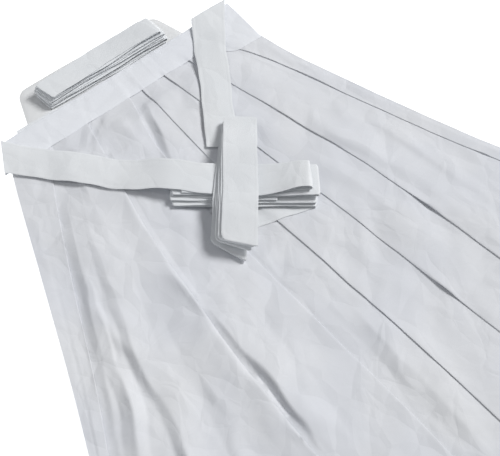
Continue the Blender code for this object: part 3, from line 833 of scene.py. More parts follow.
def edge_shares(count: int, edge: float, next_edge: float) -> Array:
    """Wall shares across a tie: thin at both edges, so that they look rounded, and at the seams."""
    shares = np.ones(count)
    shares[[0, -1]] = edge
    shares[[1, -2]] = next_edge
    shares[[3, -4]] = TIE_SEAM_SHARE
    return shares


def spread(low: float, high: float, count: int) -> list[float]:
    """Even shares strictly between low and high."""
    return [low + (high - low) * (k + 1) / (count + 1) for k in range(count)]


class Columns:
    """Columns of a pleated panel as they are laid, for all rows at once."""

    def __init__(self, down: Array) -> None:
        """Start with no columns for rows at these distances down."""
        self.down = down
        self.x: list[Array] = []
        self.ply: list[Array] = []
        self.free: list[Array] = []
        self.opening: list[Array] = []

    def add(self, x: Array, ply: Array | float, free: float = 0.0, opening: Array | float = 0.0) -> None:
        """Lay one column."""
        whole = np.ones_like(self.down)
        self.x.append(x * whole)
        self.ply.append(ply * whole)
        self.free.append(free * whole)
        self.opening.append(opening * whole)

    def stacked(self, side: int) -> tuple[Array, Array, Array, Array]:
        """x, ply, free share and opening as rows by columns."""
        parts = (self.x, self.ply, self.free, self.opening)
        x, ply, free, opening = (np.stack(part, axis=1) for part in parts)
        return side * x, ply, free, opening


class Held(Enum):
    """How a sheet lies."""

    LAID = "laid"
    FOLDED = "folded"
    STRETCHED = "stretched"


@dataclass(frozen=True)
class Cut:
    """Width, length and area to which a piece's cloth is cut, and how it lies."""

    flat: tuple[float, float]
    held: Held
    rests_on: tuple[str, ...] = ()
    area: float | None = None

    def declare(self, piece: bpy.types.Object) -> None:
        """Gather the piece's area and what it rests on; nothing is done with them."""
        more = {} if self.area is None else {"area": self.area}
        if self.rests_on:
            more["rests_on"] = list(self.rests_on)


CUTS = {
    "right_leg_back": Cut((0.570, 0.915), Held.LAID, area=0.368),
    "left_leg_back": Cut((0.570, 0.915), Held.LAID, area=0.366),
    "crotch_gusset": Cut((0.128, 0.280), Held.FOLDED, ("right_leg_back", "left_leg_back"), 0.0252),
    "right_leg_front": Cut((0.850, 0.945), Held.LAID, ("right_leg_back", "crotch_gusset"), 0.562),
    "left_leg_front": Cut((0.668, 0.945), Held.LAID, ("left_leg_back", "crotch_gusset"), 0.460),
    "back_board_cover": Cut((0.244, 0.082), Held.STRETCHED, area=0.0179),
    "back_strip": Cut((0.247, 0.034), Held.STRETCHED, ("back_board_cover",)),
    "front_band": Cut((0.331, 0.108), Held.FOLDED, ("right_leg_front", "left_leg_front"), 0.0274),
    "corner_tie_stack": Cut((0.0382, 1.126), Held.FOLDED, ("right_leg_front", "left_leg_front")),
    "corner_tie": Cut((0.0382, 0.511), Held.LAID, ("front_band", "right_leg_front", "corner_tie_stack")),
    "shoulder_tie": Cut((0.0382, 0.213), Held.LAID, ("front_band", "left_leg_front")),
    "shoulder_tie_stack": Cut((0.0382, 1.294), Held.FOLDED, ("corner_tie", "corner_tie_stack")),
    "board_tie_stack": Cut((0.0276, 1.791), Held.FOLDED, ("back_board_cover", "back_strip")),
}


@dataclass
class FrontLeg:
    """Pleated front of one leg, whose knife pleats face the centre."""

    name: str
    node: str
    side: int
    lines: dict[str, tuple[float, ...]]
    openings: str
    centre_panel: bool = False
    rows: int = 215
    row_power: float = 1.15
    wall: float = 0.00043
    plain_share: float = 0.80
    hem: float = 0.024
    panel_steps: tuple[int, ...] = (20, 20, 30, 8)
    fall_width: float = 0.030
    bulge: float = 1.5
    bulge_rise: float = 0.75
    bulge_fall: float = 0.10
    bulge_from: float = 0.14
    bulge_length: float = 0.10
    calm_from: float = 0.30
    calm_length: float = 0.18
    calm: float = 0.75

    def downs(self) -> Array:
        """Distances down of the rows, closer together near the waist."""
        share = np.linspace(0, 1, self.rows + 1)
        return PANEL_TOP_DOWN + (HEM_DOWN - PANEL_TOP_DOWN) * share ** self.row_power

    def overlap(self, line: Array, next_line: Array, down: Array) -> Array:
        """How far a pleat runs in behind its fold."""
        most = mix(OVERLAP_WAIST, OVERLAP_HEM, down / HEM_DOWN)
        return np.minimum(OVERLAP_SHARE * (next_line - line), most)

    def open_by(self, key: str, down: Array) -> Array:
        """How far the fold's edge stands open."""
        marks = FOLD_OPENINGS[f"{self.openings} {key}"]
        return smooth_table(tuple(m[0] for m in marks), tuple(m[1] for m in marks), down) / 1000

    def lay_fold(self, columns: Columns, x: Array, depth: Array, opening: Array, seam_edge: bool) -> None:
        """Lay the plies behind a fold, the rounded fold and the ply on top of it."""
        turn = FINE_PITCH / 2
        if seam_edge:
            columns.add(x + depth, 1.0)
        else:
            for share in (0.0, 0.35, 0.7):
                columns.add(x + (depth - turn) * share, 0.0)
            for inset, ply in ((1.0, 0.0), (0.3, 0.15), (0.0, 0.5), (0.3, 0.85), (1.0, 1.0)):
                columns.add(x + depth - inset * turn, ply)
        for share in (0.6, 0.25):
            columns.add(x + turn + (depth - 2 * turn) * share, 1.0, 0.0, 0.5 * opening * math.exp(-share * 3))
        for angle in (-90, -62, -30, 0, 30, 62, 90):
            up = math.sin(math.radians(angle))
            out = turn * (1 - math.cos(math.radians(angle)))
            share = 0.5 + 0.5 * up
            columns.add(x + out, 1.5 + 0.5 * up, share, opening * mix(0.6, 1.0, share))
        for share in (0.06, 0.14, 0.25, 0.4, 0.55, 0.7, 0.85, 1.0):
            near = np.exp(-(((depth - turn) * share) / OPENING_WIDTH) ** 2)
            columns.add(x + turn + (depth - turn) * share, 2.0, 1.0, opening * near)

    def lay_panel(
        self, columns: Columns, start: Array, end: Array, steps: int, fold: Array, opening: Array,
    ) -> None:
        """Lay the panel between two folds, which falls from ply 2 to ply 0 near its end."""
        width = end - start
        fall_from = np.clip(1 - self.fall_width / width, 0.0, 0.7)
        for share in spread(0.0, 1.0, steps):
            x = start + width * share
            fall = ease((share - fall_from) / (1 - fall_from))
            near = np.exp(-((x - fold) / OPENING_WIDTH) ** 2)
            columns.add(x, 2.0 * (1 - fall), 1.0 - 0.6 * float(share > 0.97), opening * near)
        columns.add(end, 0.0, 0.0)

    def lay_centre_panel(self, columns: Columns, first: Array, steps: int = 26) -> None:
        """Lay the centre panel, from behind the left leg's centre fold to the line first."""
        down = columns.down
        fold = along_stations(LEFT_LEG_LINES["centre fold"], down)
        depth = self.overlap(fold, along_stations(LEFT_LEG_LINES["second fold"], down), down)
        for share in (1.0, 0.75, 0.5, 0.25, 0.0):
            columns.add(-fold - depth * share, 0.0)
        clear = FOLD_CLEARANCE_SHARE * (first + fold)
        swell = 1.0 - ease((down - self.calm_from) / self.calm_length) * self.calm
        for share in spread(0.0, 1.0, steps):
            bulge = self.bulge * swell * ease(share / self.bulge_rise) * ease((1 - share) / self.bulge_fall)
            bulge = bulge * ease((down - self.bulge_from) / self.bulge_length)
            columns.add(mix(-fold, first - clear * 0.2, share), bulge, 0.6 * float(ease(share / 0.2)))

    def lay_columns(self, down: Array) -> Columns:
        """Lay all columns from the first fold to the side edge."""
        columns = Columns(down)
        outs = [along_stations(values, down) for values in self.lines.values()]
        names = list(self.lines)
        if self.centre_panel:
            self.lay_centre_panel(columns, outs[0])
        for k, name in enumerate(names[:-1]):
            depth = self.overlap(outs[k], outs[k + 1], down)
            opening = self.open_by(name, down)
            seam_edge = k == 0 and not self.centre_panel
            self.lay_fold(columns, outs[k], depth, opening, seam_edge)
            start = outs[k] + depth
            if k < len(names) - 2:
                clear = np.minimum(FOLD_CLEARANCE, FOLD_CLEARANCE_SHARE * (outs[k + 1] - outs[k]))
                self.lay_panel(columns, start, outs[k + 1] - clear, self.panel_steps[k], outs[k], opening)
            else:
                for share in (0.15, 0.3, 0.5, 0.7, 0.85, 1.0):
                    fall = 2 * ease((share - 0.2) / 0.8)
                    columns.add(mix(start, outs[k + 1], share), 2 - fall, 1.0 - share)
        return columns

    def build(self) -> bpy.types.Object:
        """Build the pleated front."""
        down = self.downs()
        x, ply, free, opening = self.lay_columns(down).stacked(self.side)
        spread_down = np.broadcast_to(down[:, None], x.shape)
        z = front_base(x, spread_down) + WALL / 2 + ply * FINE_PITCH
        z = z + shared_lift(x, spread_down) + free * top_lift(x, spread_down)
        z = z + opening
        points = points_at(x, spread_down, z)
        hemmed = np.where(spread_down > HEM_DOWN - self.hem, 1.0, self.plain_share)
        piece = make_sheet(self.name, points, self.wall, BODY_CLOTH, hemmed)
        LIE.add(points, self.wall / 2)
        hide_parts(self.node)
        log_widths(self.name, points)
        return piece


@dataclass
class BackLeg:
    """Back of one leg, flat on the surface, with one deep pleat near the middle."""

    name: str
    node: str
    side: int
    edge: tuple[float, ...]
    top_down: float = 0.0303
    fold: tuple[float, ...] = (0.055, 0.056, 0.058, 0.062, 0.066, 0.070, 0.076, 0.092)
    depth: tuple[float, ...] = (0.025, 0.026, 0.028, 0.031, 0.034, 0.037, 0.040, 0.048)
    ramp_start: float = 0.022
    ramp_end: float = 0.004
    rows: int = 90
    wall: float = 0.00075

    def build(self) -> bpy.types.Object:
        """Build the back panel."""
        down = np.linspace(self.top_down, HEM_DOWN, self.rows + 1)
        fold, depth = along_stations(self.fold, down), along_stations(self.depth, down)
        edge = along_stations(self.edge, down)
        columns = Columns(down)
        turn = PLY_PITCH / 2
        for share in np.linspace(0, 1, 8):
            columns.add(mix(SEAM_GAP / 2, fold - self.ramp_start, share), 0.0)
        for share in (0.2, 0.4, 0.6, 0.8, 1.0):
            rise = float(ease(share)) * 2
            columns.add(fold - mix(self.ramp_start, self.ramp_end, share), rise)
        for share in (0.25, 0.5, 0.75):
            columns.add(mix(fold - self.ramp_end, fold + depth - turn, share), 2.0)
        self.turn_back(columns, fold + depth, -turn, 1.5)
        columns.add(fold + depth / 2, 1.0)
        self.turn_back(columns, fold, turn, 0.5)
        columns.add(fold + depth / 2, 0.0)
        for share in np.linspace(0, 1, 22):
            columns.add(mix(fold + depth, edge, share), 0.0)
        x, ply, _, _ = columns.stacked(self.side)
        spread_down = np.broadcast_to(down[:, None], x.shape)
        points = points_at(x, spread_down, WALL / 2 + ply * PLY_PITCH)
        piece = make_sheet(self.name, points, self.wall, BODY_CLOTH)
        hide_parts(self.node)
        log_widths(self.name, points)
        return piece

    @staticmethod
    def turn_back(columns: Columns, x: Array, out: float, middle: float) -> None:
        """Rounded fold at x, laid going down, whose plies start out from it, or in if that is negative."""
        for angle in (90, 45, 0, -45, -90):
            up = math.sin(math.radians(angle))
            columns.add(x + out * (1 - math.cos(math.radians(angle))), middle + 0.5 * up)


@dataclass
class Gusset:
    """Crotch gusset, folded double between the front and the back."""

    top_down: float = 0.52
    foot_down: float = 0.80
    top_half: float = 0.012
    foot_half: float = 0.032
    wall: float = 0.0008

    def build(self) -> bpy.types.Object:
        """Build the gusset."""
        down = np.linspace(self.top_down, self.foot_down, 25)[:, None]
        half = mix(self.top_half, self.foot_half, (down - self.top_down) / (self.foot_down - self.top_down))
        outs = [*np.linspace(-1, 0.97, 12), 1.0, 1.0, *np.linspace(0.97, -1, 12)]
        plies = [0.0] * 12 + [0.25, 0.75] + [1.0] * 12
        x = half * np.array(outs)[None, :]
        z = WALL + SEAM_GAP + WALL / 2 + np.array(plies)[None, :] * PLY_PITCH
        piece = make_sheet("crotch_gusset", points_at(x, down, z), self.wall, BODY_CLOTH)
        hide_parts("gusset")
        return piece


@dataclass
class Waistband:
    """Band folded over the pleats' top edge, deeper where it turns at the right corner."""

    steps: int = 200
    wall: float = 0.0006
    round_depth: float = 0.0016
    foot_wave: float = 0.0006
    foot_turns: tuple[float, float] = (95.0, 37.0)
    sewn_in: float = 0.0005
    ripple: float = 0.4

    def x_at(self, share: Array, down: Array) -> Array:
        """Place across at a share of the band's length."""
        return mix(BAND_LEFT_END + BAND_LEFT_SLANT * down, BAND_RIGHT_END, share)

    def inner(self, x: Array, down: Array) -> Array:
        """Middle of the layer under the pleats."""
        return under_front(x, np.maximum(down, 0.0)) - SEAM_GAP - WALL / 2

    def outer(self, bridged: Array, x: Array, down: Array) -> Array:
        """Middle of the layer over the pleats."""
        least = front_base(x, np.maximum(down, 0.0)) + WALL + FINE_PITCH
        return np.maximum(LIE.sample(bridged, x, down), least) + SEAM_GAP + self.wall / 2

    def inner_layer(self, share: Array, start: Array) -> list[tuple[Array, Array, Array]]:
        """x, down and height of the layer under the pleats, from its foot up."""
        laid = []
        for part in np.linspace(0, 1, 6):
            down = mix(BAND_INNER_DEPTH, start, part)
            x = self.x_at(share, down)
            laid.append((x, down, self.inner(x, down)))
        return laid

    def top_edge(self, bridged: Array, share: Array, start: Array) -> list[tuple[Array, Array, Array]]:
        """x, down and height of the rounded edge, from below to above."""
        x = self.x_at(share, start)
        below, above = self.inner(x, start), self.outer(bridged, x, start)
        laid = []
        for angle in (-60, -30, 0, 30, 60):
            turn = math.radians(angle)
            down = start - self.round_depth * math.cos(turn)
            laid.append((self.x_at(share, down), down, mix(below, above, 0.5 + 0.5 * math.sin(turn))))
        return laid

    def outer_layer(
        self, bridged: Array, share: Array, start: Array, foot: Array,
    ) -> list[tuple[Array, Array, Array]]:
        """x, down and height of the layer over the pleats, sewn down at its foot."""
        close = LIE.draped(1, 2)
        laid = []
        for part in (0, 0.05, 0.12, 0.2, 0.3, 0.4, 0.5, 0.6, 0.7, 0.8, 0.88, 0.94, 0.98, 1):
            down = mix(start, foot, part)
            x = self.x_at(share, down)
            sag = 1 - 0.5 * ease((part - 0.7) / 0.3)
            ripple = TIE_RELIEF.lift(x, down) * self.ripple * ease(part / 0.3) * sag
            above = self.outer(bridged, x, down) + ripple
            sewn = self.outer(close, x, down) - self.sewn_in * ease((part - 0.93) / 0.07)
            laid.append((x, down, mix(above, sewn, ease((part - 0.75) / 0.2))))
        return laid

    def build(self) -> bpy.types.Object:
        """Build the band."""
        bridged = LIE.draped(4, 6)
        share = np.linspace(0, 1, self.steps + 1)[:, None]
        centre = mix(BAND_LEFT_END, BAND_RIGHT_END, share)
        rise = BAND_CORNER_RISE * ease((centre - BAND_CORNER_FROM) / (BAND_CORNER_TO - BAND_CORNER_FROM))
        start = BAND_TOP_DOWN - rise + self.round_depth
        turns, slow_turns = self.foot_turns
        wave = self.foot_wave * np.sin(centre * turns + 0.8) * np.sin(centre * slow_turns)
        foot = band_foot(centre) + wave
        laid = self.inner_layer(share, start) + self.top_edge(bridged, share, start)
        laid += self.outer_layer(bridged, share, start, foot)
        x, down, z = (
            np.concatenate([np.broadcast_to(part[c], share.shape) for part in laid], axis=1) for c in range(3)
        )
        thickness = np.ones(x.shape[1])
        thickness[-2:] = (0.6, 0.25)
        points = points_at(x, down, z)
        piece = make_sheet("front_band", points, self.wall, BAND_CLOTH_PAINTED_LIGHTER, thickness)
        LIE.add(points, self.wall / 2)
        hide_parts("front_waistband")
        return piece


@dataclass
class Board:
    """Stiff trapezoid board at the back of the waist, covered in cloth."""

    rise: float = 0.052
    foot_down: float = 0.030
    left_top: float = -0.110
    left_foot: float = -0.136
    right_top: float = 0.083
    right_foot: float = 0.108
    corner: float = 0.010
    corner_share: float = 0.14
    tilt: float = 0.005
    tilt_from: float = 0.2
    thickness: float = BOARD_WALL
    edge_share: float = 0.35

    def thinned(self, near: Array) -> Array:
        """Share of the thickness, by how near an edge is: thin at 0 and full from 1 on."""
        return np.minimum(1.0, self.edge_share + (1 - self.edge_share) * ease(near))

    def build(self) -> bpy.types.Object:
        """Build the board with rounded edges."""
        near_top = [0.0, 0.008, 0.02, 0.04, 0.07, 0.10, 0.14]
        share = np.concatenate([near_top, np.linspace(0.2, 1, 18)])[:, None]
        out = np.concatenate([[0.0, 0.006, 0.02], np.linspace(0.04, 0.96, 46), [0.98, 0.994, 1.0]])[None, :]
        down = mix(-self.rise, self.foot_down, share)
        corner = self.corner * (1 - np.sqrt(1 - (1 - np.clip(share / self.corner_share, 0, 1)) ** 2))
        left = mix(self.left_top, self.left_foot, share) + corner
        right = mix(self.right_top, self.right_foot, share) - corner
        tilt = self.tilt * ease((out - self.tilt_from) / (1 - self.tilt_from)) * (1 - share) ** 2
        points = points_at(mix(left, right, out), down + tilt, self.thickness / 2)
        edge = self.thinned(np.minimum(out, 1 - out) / 0.02) * self.thinned(share / 0.03)
        piece = make_sheet("back_board_cover", points, self.thickness, BOARD_CLOTH, edge)
        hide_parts("back_board")
        return piece


@dataclass
class WaistStrip:
    """Strip sewn along the board's base."""

    left: float = -0.140
    right: float = 0.107
    left_rise: float = 0.0055
    right_rise: float = -0.0015
    lie: float = BOARD_WALL + SEAM_GAP + WALL / 2
    foot_down: float = 0.030
    wall: float = 0.0009

    def build(self) -> bpy.types.Object:
        """Build the strip."""
        share = np.linspace(0, 1, 60)[:, None]
        rise = mix(self.left_rise, self.right_rise, ease(share / 0.7))
        part = np.array([0.0, 0.02, 0.05, 0.12, 0.25, 0.4, 0.55, 0.7, 0.85, 1.0])[None, :]
        down = mix(-rise, self.foot_down, part)
        points = points_at(mix(self.left, self.right, share), down, self.lie)
        thickness = np.ones(part.shape[1])
        thickness[[0, 1]] = (0.35, 0.8)
        piece = make_sheet("back_strip", points, self.wall, TIE_CLOTH, thickness)
        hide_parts("back_waist_strip")
        return piece


# Columns across a tie, as shares of its width and from -1 to 1, and the wall's share at each
TIE_SHARES = np.array(
    [0.0, 0.02, 0.07, 0.095, 0.12, 0.26, 0.38, 0.50, 0.62, 0.74, 0.88, 0.905, 0.93, 0.98, 1.0]
)
TIE_SIDES = 2 * TIE_SHARES - 1
TIE_EDGE_SHARES = edge_shares(len(TIE_SHARES), 0.35, 0.8)
STACK_EDGE_SHARES = edge_shares(len(TIE_SHARES), 0.45, 0.85)

# Wavers of a tie's line: size, turns in a metre as an angle, and share of the seed
TIE_WAVERS = ((0.00045, 83.0, 1.0), (0.0003, 197.0, 2.1))


def lying_height(surface: Array, x: Array, down: Array) -> Array:
    """Middle of a tie that lies on what is under it, with its own slight waves."""
    return LIE.sample(surface, x, down) + SEAM_GAP + TIE_WALL / 2 + TIE_RELIEF.lift(x, down)


def tie_edges(run: Array | float, seed: float) -> Array:
    """Slight waver of a tie's line, by the distance along it."""
    return sum(size * np.sin(run * turns + share * seed) for size, turns, share in TIE_WAVERS)


@dataclass(frozen=True)
class Fold:
    """Fold line of a stacked tie: its place along the stack, sideways shift, skew and height.

    bow is how far the layer that starts here bulges sideways at its middle.
    """

    run: float
    shift: float
    skew: float = 0.0
    height: float = 0.0014
    bow: float = 0.0


@dataclass
class FoldedStack:
    """Tie folded to and fro in a stack, from its lowest end to its top end."""

    name: str
    node: str
    folds: tuple[Fold, ...]
    half: float
    seed: int
    pitch: float = 0.0014
    nest: float = 0.0010
    reach: float = 0.080
    loose: tuple[int, ...] = ()
    loose_gaps: tuple[float, float, float] = (0.0014, 0.0014, 0.0014)
    corners: tuple[float, float] = (0.0015, 0.0015)
    round_share: float = 0.14
    sway: float = 0.0005
    sway_turn: float = 7.0
    waver_share: float = 0.4
    phases: float = 6.3
    base: float = 0.0
    steps: int = 30

    def heights(self) -> tuple[Array, Array, Array]:
        """Height of each layer at the low end, in the middle and at the high end."""
        count = len(self.folds) - 1
        low, middle, high = np.zeros(count), np.zeros(count), np.zeros(count)
        for k in range(1, count):
            low_gap, middle_gap, high_gap = self.loose_gaps if k - 1 in self.loose else (0.0, 0.0, 0.0)
            joined_high = self.folds[k].run > self.folds[k - 1].run
            low[k] = low[k - 1] + low_gap + (self.nest if joined_high else self.folds[k].height)
            high[k] = high[k - 1] + high_gap + (self.folds[k].height if joined_high else self.nest)
            middle[k] = middle[k - 1] + middle_gap + self.pitch
        return low, middle, high

    def rise(self, level: float, run: Array | float) -> Array:
        """Height of a level above the base; levels past the last lie on it.

        Args:
            level: layer's number, between two of them on a fold.
            run: places along the stack.

        Returns:
            The middle of the layer's wall at those places.
        """
        last = len(self.folds) - 2
        at = min(level, last)
        low, middle, high = (float(np.interp(at, range(last + 1), ends)) for ends in self.heights())
        runs = [fold.run for fold in self.folds]
        from_low = ease(1 - (run - min(runs)) / self.reach)
        from_high = ease(1 - (max(runs) - run) / self.reach)
        fanned = middle + (low - middle) * from_low + (high - middle) * from_high
        return fanned + (level - at) * self.pitch + STACK_WALL / 2

    def height_at(self, level: float, run: Array | float) -> Array:
        """Height of a level above the surface."""
        return self.base + self.rise(level, run)

    def spot(self, run: Array, out: Array, level: float) -> tuple[Array, Array, Array]:
        """x, down and height of points of a layer."""
        raise NotImplementedError

    def rounding(self, sides: Array) -> Array:
        """How far the rounded corners of an end are drawn in."""
        near = np.clip((np.abs(sides) - 0.72) / 0.28, 0.0, 1.0)
        return np.where(sides < 0, *self.corners) * (1 - np.sqrt(1 - near ** 2))

    def heading(self, k: int) -> float:
        """Direction in which layer k runs."""
        return 1.0 if self.folds[k + 1].run > self.folds[k].run else -1.0

    def layer(self, k: int, radius: float, next_radius: float, phase: Array) -> list[Array]:
        """Rows of points of layer k, between the turns of those radii at its ends."""
        start, end = self.folds[k], self.folds[k + 1]
        heading, drawn = self.heading(k), self.rounding(TIE_SIDES)
        rows = []
        for share in np.linspace(0, 1, self.steps):
            run = mix(start.run + heading * radius, end.run - heading * next_radius, share)
            run = run + TIE_SIDES * mix(start.skew, end.skew, share)
            inwards = ease(1 - share / self.round_share) - ease(1 - (1 - share) / self.round_share)
            run = run + heading * drawn * inwards
            hold = math.sin(math.pi * share)
            waver = self.waver_share * tie_edges(start.run + share * 0.15, phase[1])
            sway = self.sway * hold * math.sin(share * self.sway_turn + phase[0]) + waver
            shift = mix(start.shift, end.shift, share) + start.bow * hold + sway
            rows.append(points_at(*self.spot(run, shift + TIE_SIDES * self.half, float(k))))
        return rows

    def turn(self, k: int, radius: float) -> list[Array]:
        """Rows of points of the rounded turn from layer k up to the next."""
        end, heading, drawn = self.folds[k + 1], self.heading(k), self.rounding(TIE_SIDES)
        rows = []
        for angle in (-70, -45, -20, 0, 20, 45, 70):
            up = 0.5 + 0.5 * math.sin(math.radians(angle))
            out = radius * math.cos(math.radians(angle))
            run = end.run - heading * (radius - out) + TIE_SIDES * end.skew - heading * drawn
            rows.append(points_at(*self.spot(run, end.shift + TIE_SIDES * self.half, k + up)))
        return rows

    def build(self) -> bpy.types.Object:
        """Build the stack as one long strip with rounded turns."""
        chance = np.random.default_rng(self.seed)
        last = len(self.folds) - 2
        rows = []
        radius = 0.0
        for k in range(last + 1):
            at = self.folds[k + 1].run
            next_radius = 0.0 if k == last else float(self.rise(k + 1, at) - self.rise(k, at)) / 2
            rows += self.layer(k, radius, next_radius, chance.random(2) * self.phases)
            if k < last:
                rows += self.turn(k, next_radius)
            radius = next_radius
        points = np.stack(rows)
        piece = make_sheet(self.name, points, STACK_WALL, TIE_CLOTH, STACK_EDGE_SHARES, even=False)
        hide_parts(self.node)
        log_length(self.name, points)
        return piece


@dataclass
class RightStack(FoldedStack):
    """Stack of the right tie, which lies across the front; its lowest layer is the free end."""

    centre: float = 0.1600
    foot_along: tuple[float, ...] = (0.07, 0.09, 0.11, 0.13, 0.15, 0.17, 0.19, 0.21, 0.23)
    foot_across: tuple[float, ...] = (0.143, 0.155, 0.165, 0.175, 0.184)
    surface: Array | None = None

    def settle(self) -> None:
        """Find the height on which the stack lies, once the cloth under it is there."""
        self.surface = LIE.draped(2, 1)
        heights = [
            float(LIE.sample(self.surface, *turned(along, across)))
            for along in self.foot_along
            for across in self.foot_across
        ]
        self.base = max(heights) + SEAM_GAP

    def spot(self, run: Array, out: Array, level: float) -> tuple[Array, Array, Array]:
        """x, down and height of points of a layer; the free end lies on the cloth."""
        x, down = turned(run, self.centre + out)
        z = self.height_at(level, run)
        lying = LIE.sample(self.surface, x, down) + SEAM_GAP + STACK_WALL / 2
        return x, down, mix(np.minimum(lying, z), z, float(ease(level)))


@dataclass
class LeftStack(FoldedStack):
    """Stack of the left tie, which bridges the other and hangs off towards its ends."""

    centre: float = 0.1465
    rest_from: float = 0.134
    rest_to: float = 0.188
    drop: float = 0.0118
    drop_length: float = 0.055

    def spot(self, run: Array, out: Array, level: float) -> tuple[Array, Array, Array]:
        """x, down and height of points of a layer."""
        past = np.maximum(np.maximum(self.rest_from - run, run - self.rest_to), 0.0)
        x, down = turned(self.centre + out, run)
        return x, down, self.height_at(level, run) - self.drop * ease(past / self.drop_length)


@dataclass
class BackStack(FoldedStack):
    """Stack of the back ties, which lies on the board."""

    centre: float = -0.0204
    slope: float = 0.004

    def spot(self, run: Array, out: Array, level: float) -> tuple[Array, Array, Array]:
        """x, down and height of points of a layer."""
        return run, self.centre + self.slope * run + out, self.height_at(level, run)


# Where the left stack rests on the right one, as places along the right one
CROSSED_AT = (0.125, 0.147, 0.168)

RIGHT_STACK = RightStack(
    "corner_tie_stack", "front_tie_right_bundle",
    (
        Fold(run=0.1200, shift=0.0434, skew=0.0064),
        Fold(run=0.2280, shift=0.0080, skew=0.0030, height=0.0024),
        Fold(run=0.0718, shift=0.0078, skew=0.0010, height=0.0024, bow=-0.0006),
        Fold(run=0.2318, shift=0.0058, skew=-0.0010, height=0.0034, bow=0.0008),
        Fold(run=0.0706, shift=0.0030, skew=-0.0008, height=0.0024, bow=-0.0004),
        Fold(run=0.1870, shift=0.0036, skew=0.0012, height=0.0026, bow=0.0006),
        Fold(run=0.0716, shift=-0.0018, skew=0.0006, height=0.0034, bow=-0.0006),
        Fold(run=0.2335, shift=0.0006, skew=0.0008, height=0.0042, bow=0.0006),
        Fold(run=0.1000, shift=-0.0030),
    ),
    TIE_HALF, seed=5,
)
LEFT_STACK = LeftStack(
    "shoulder_tie_stack", "front_tie_left_bundle",
    (
        Fold(run=0.0900, shift=-0.0030),
        Fold(run=0.2436, shift=-0.0118, skew=0.0112, height=0.0030, bow=-0.0006),
        Fold(run=0.0830, shift=-0.0026, height=0.0020, bow=-0.0012),
        Fold(run=0.2412, shift=-0.0066, skew=0.0062, height=0.0022, bow=0.0004),
        Fold(run=0.0806, shift=-0.0016, height=0.0020, bow=-0.0010),
        Fold(run=0.2400, shift=-0.0036, skew=0.0050, height=0.0028, bow=0.0005),
        Fold(run=0.0796, shift=-0.0008, height=0.0020, bow=-0.0008),
        Fold(run=0.2416, shift=0.0004, skew=0.0042, height=0.0022, bow=0.0004),
        Fold(run=0.0764, shift=0.0, skew=0.0004),
    ),
    TIE_HALF, seed=8, corners=(0.0048, 0.0016), nest=0.0011, loose=(1,), loose_gaps=(0.0, 0.0002, 0.0066),
)
BACK_STACK = BackStack(
    "board_tie_stack", "back_tie_bundle",
    (
        Fold(run=-0.0880, shift=0.0014, skew=0.0010, bow=0.0012),
        Fold(run=0.0720, shift=0.0046, skew=0.0012, height=0.0016, bow=0.0004),
        Fold(run=-0.0935, shift=0.0016, skew=0.0020, height=0.0014, bow=0.0012),
        Fold(run=0.0748, shift=0.0040, skew=0.0010, height=0.0030, bow=-0.0006),
        Fold(run=-0.0925, shift=0.0010, skew=0.0022, height=0.0014, bow=0.0002),
        Fold(run=0.0700, shift=0.0034, skew=0.0016, height=0.0016, bow=-0.0014),
        Fold(run=-0.0930, shift=0.0004, skew=0.0032, height=0.0014, bow=-0.0010),
        Fold(run=0.0728, shift=0.0022, skew=0.0012, height=0.0030, bow=-0.0022),
        Fold(run=-0.0905, shift=-0.0002, skew=0.0034, height=0.0014, bow=-0.0014),
        Fold(run=0.0690, shift=0.0006, skew=0.0010, height=0.0042, bow=-0.0026),
        Fold(run=-0.0882, shift=0.0004, skew=0.0038, height=0.0014, bow=-0.0030),
        Fold(run=0.0612, shift=0.0002, skew=0.0045),
    ),
    BACK_TIE_HALF, seed=3, pitch=0.0013, loose=(2, 5, 8), loose_gaps=(0.0019, 0.0012, 0.0015), sway=0.0013,
    base=BOARD_WALL + SEAM_GAP,
)


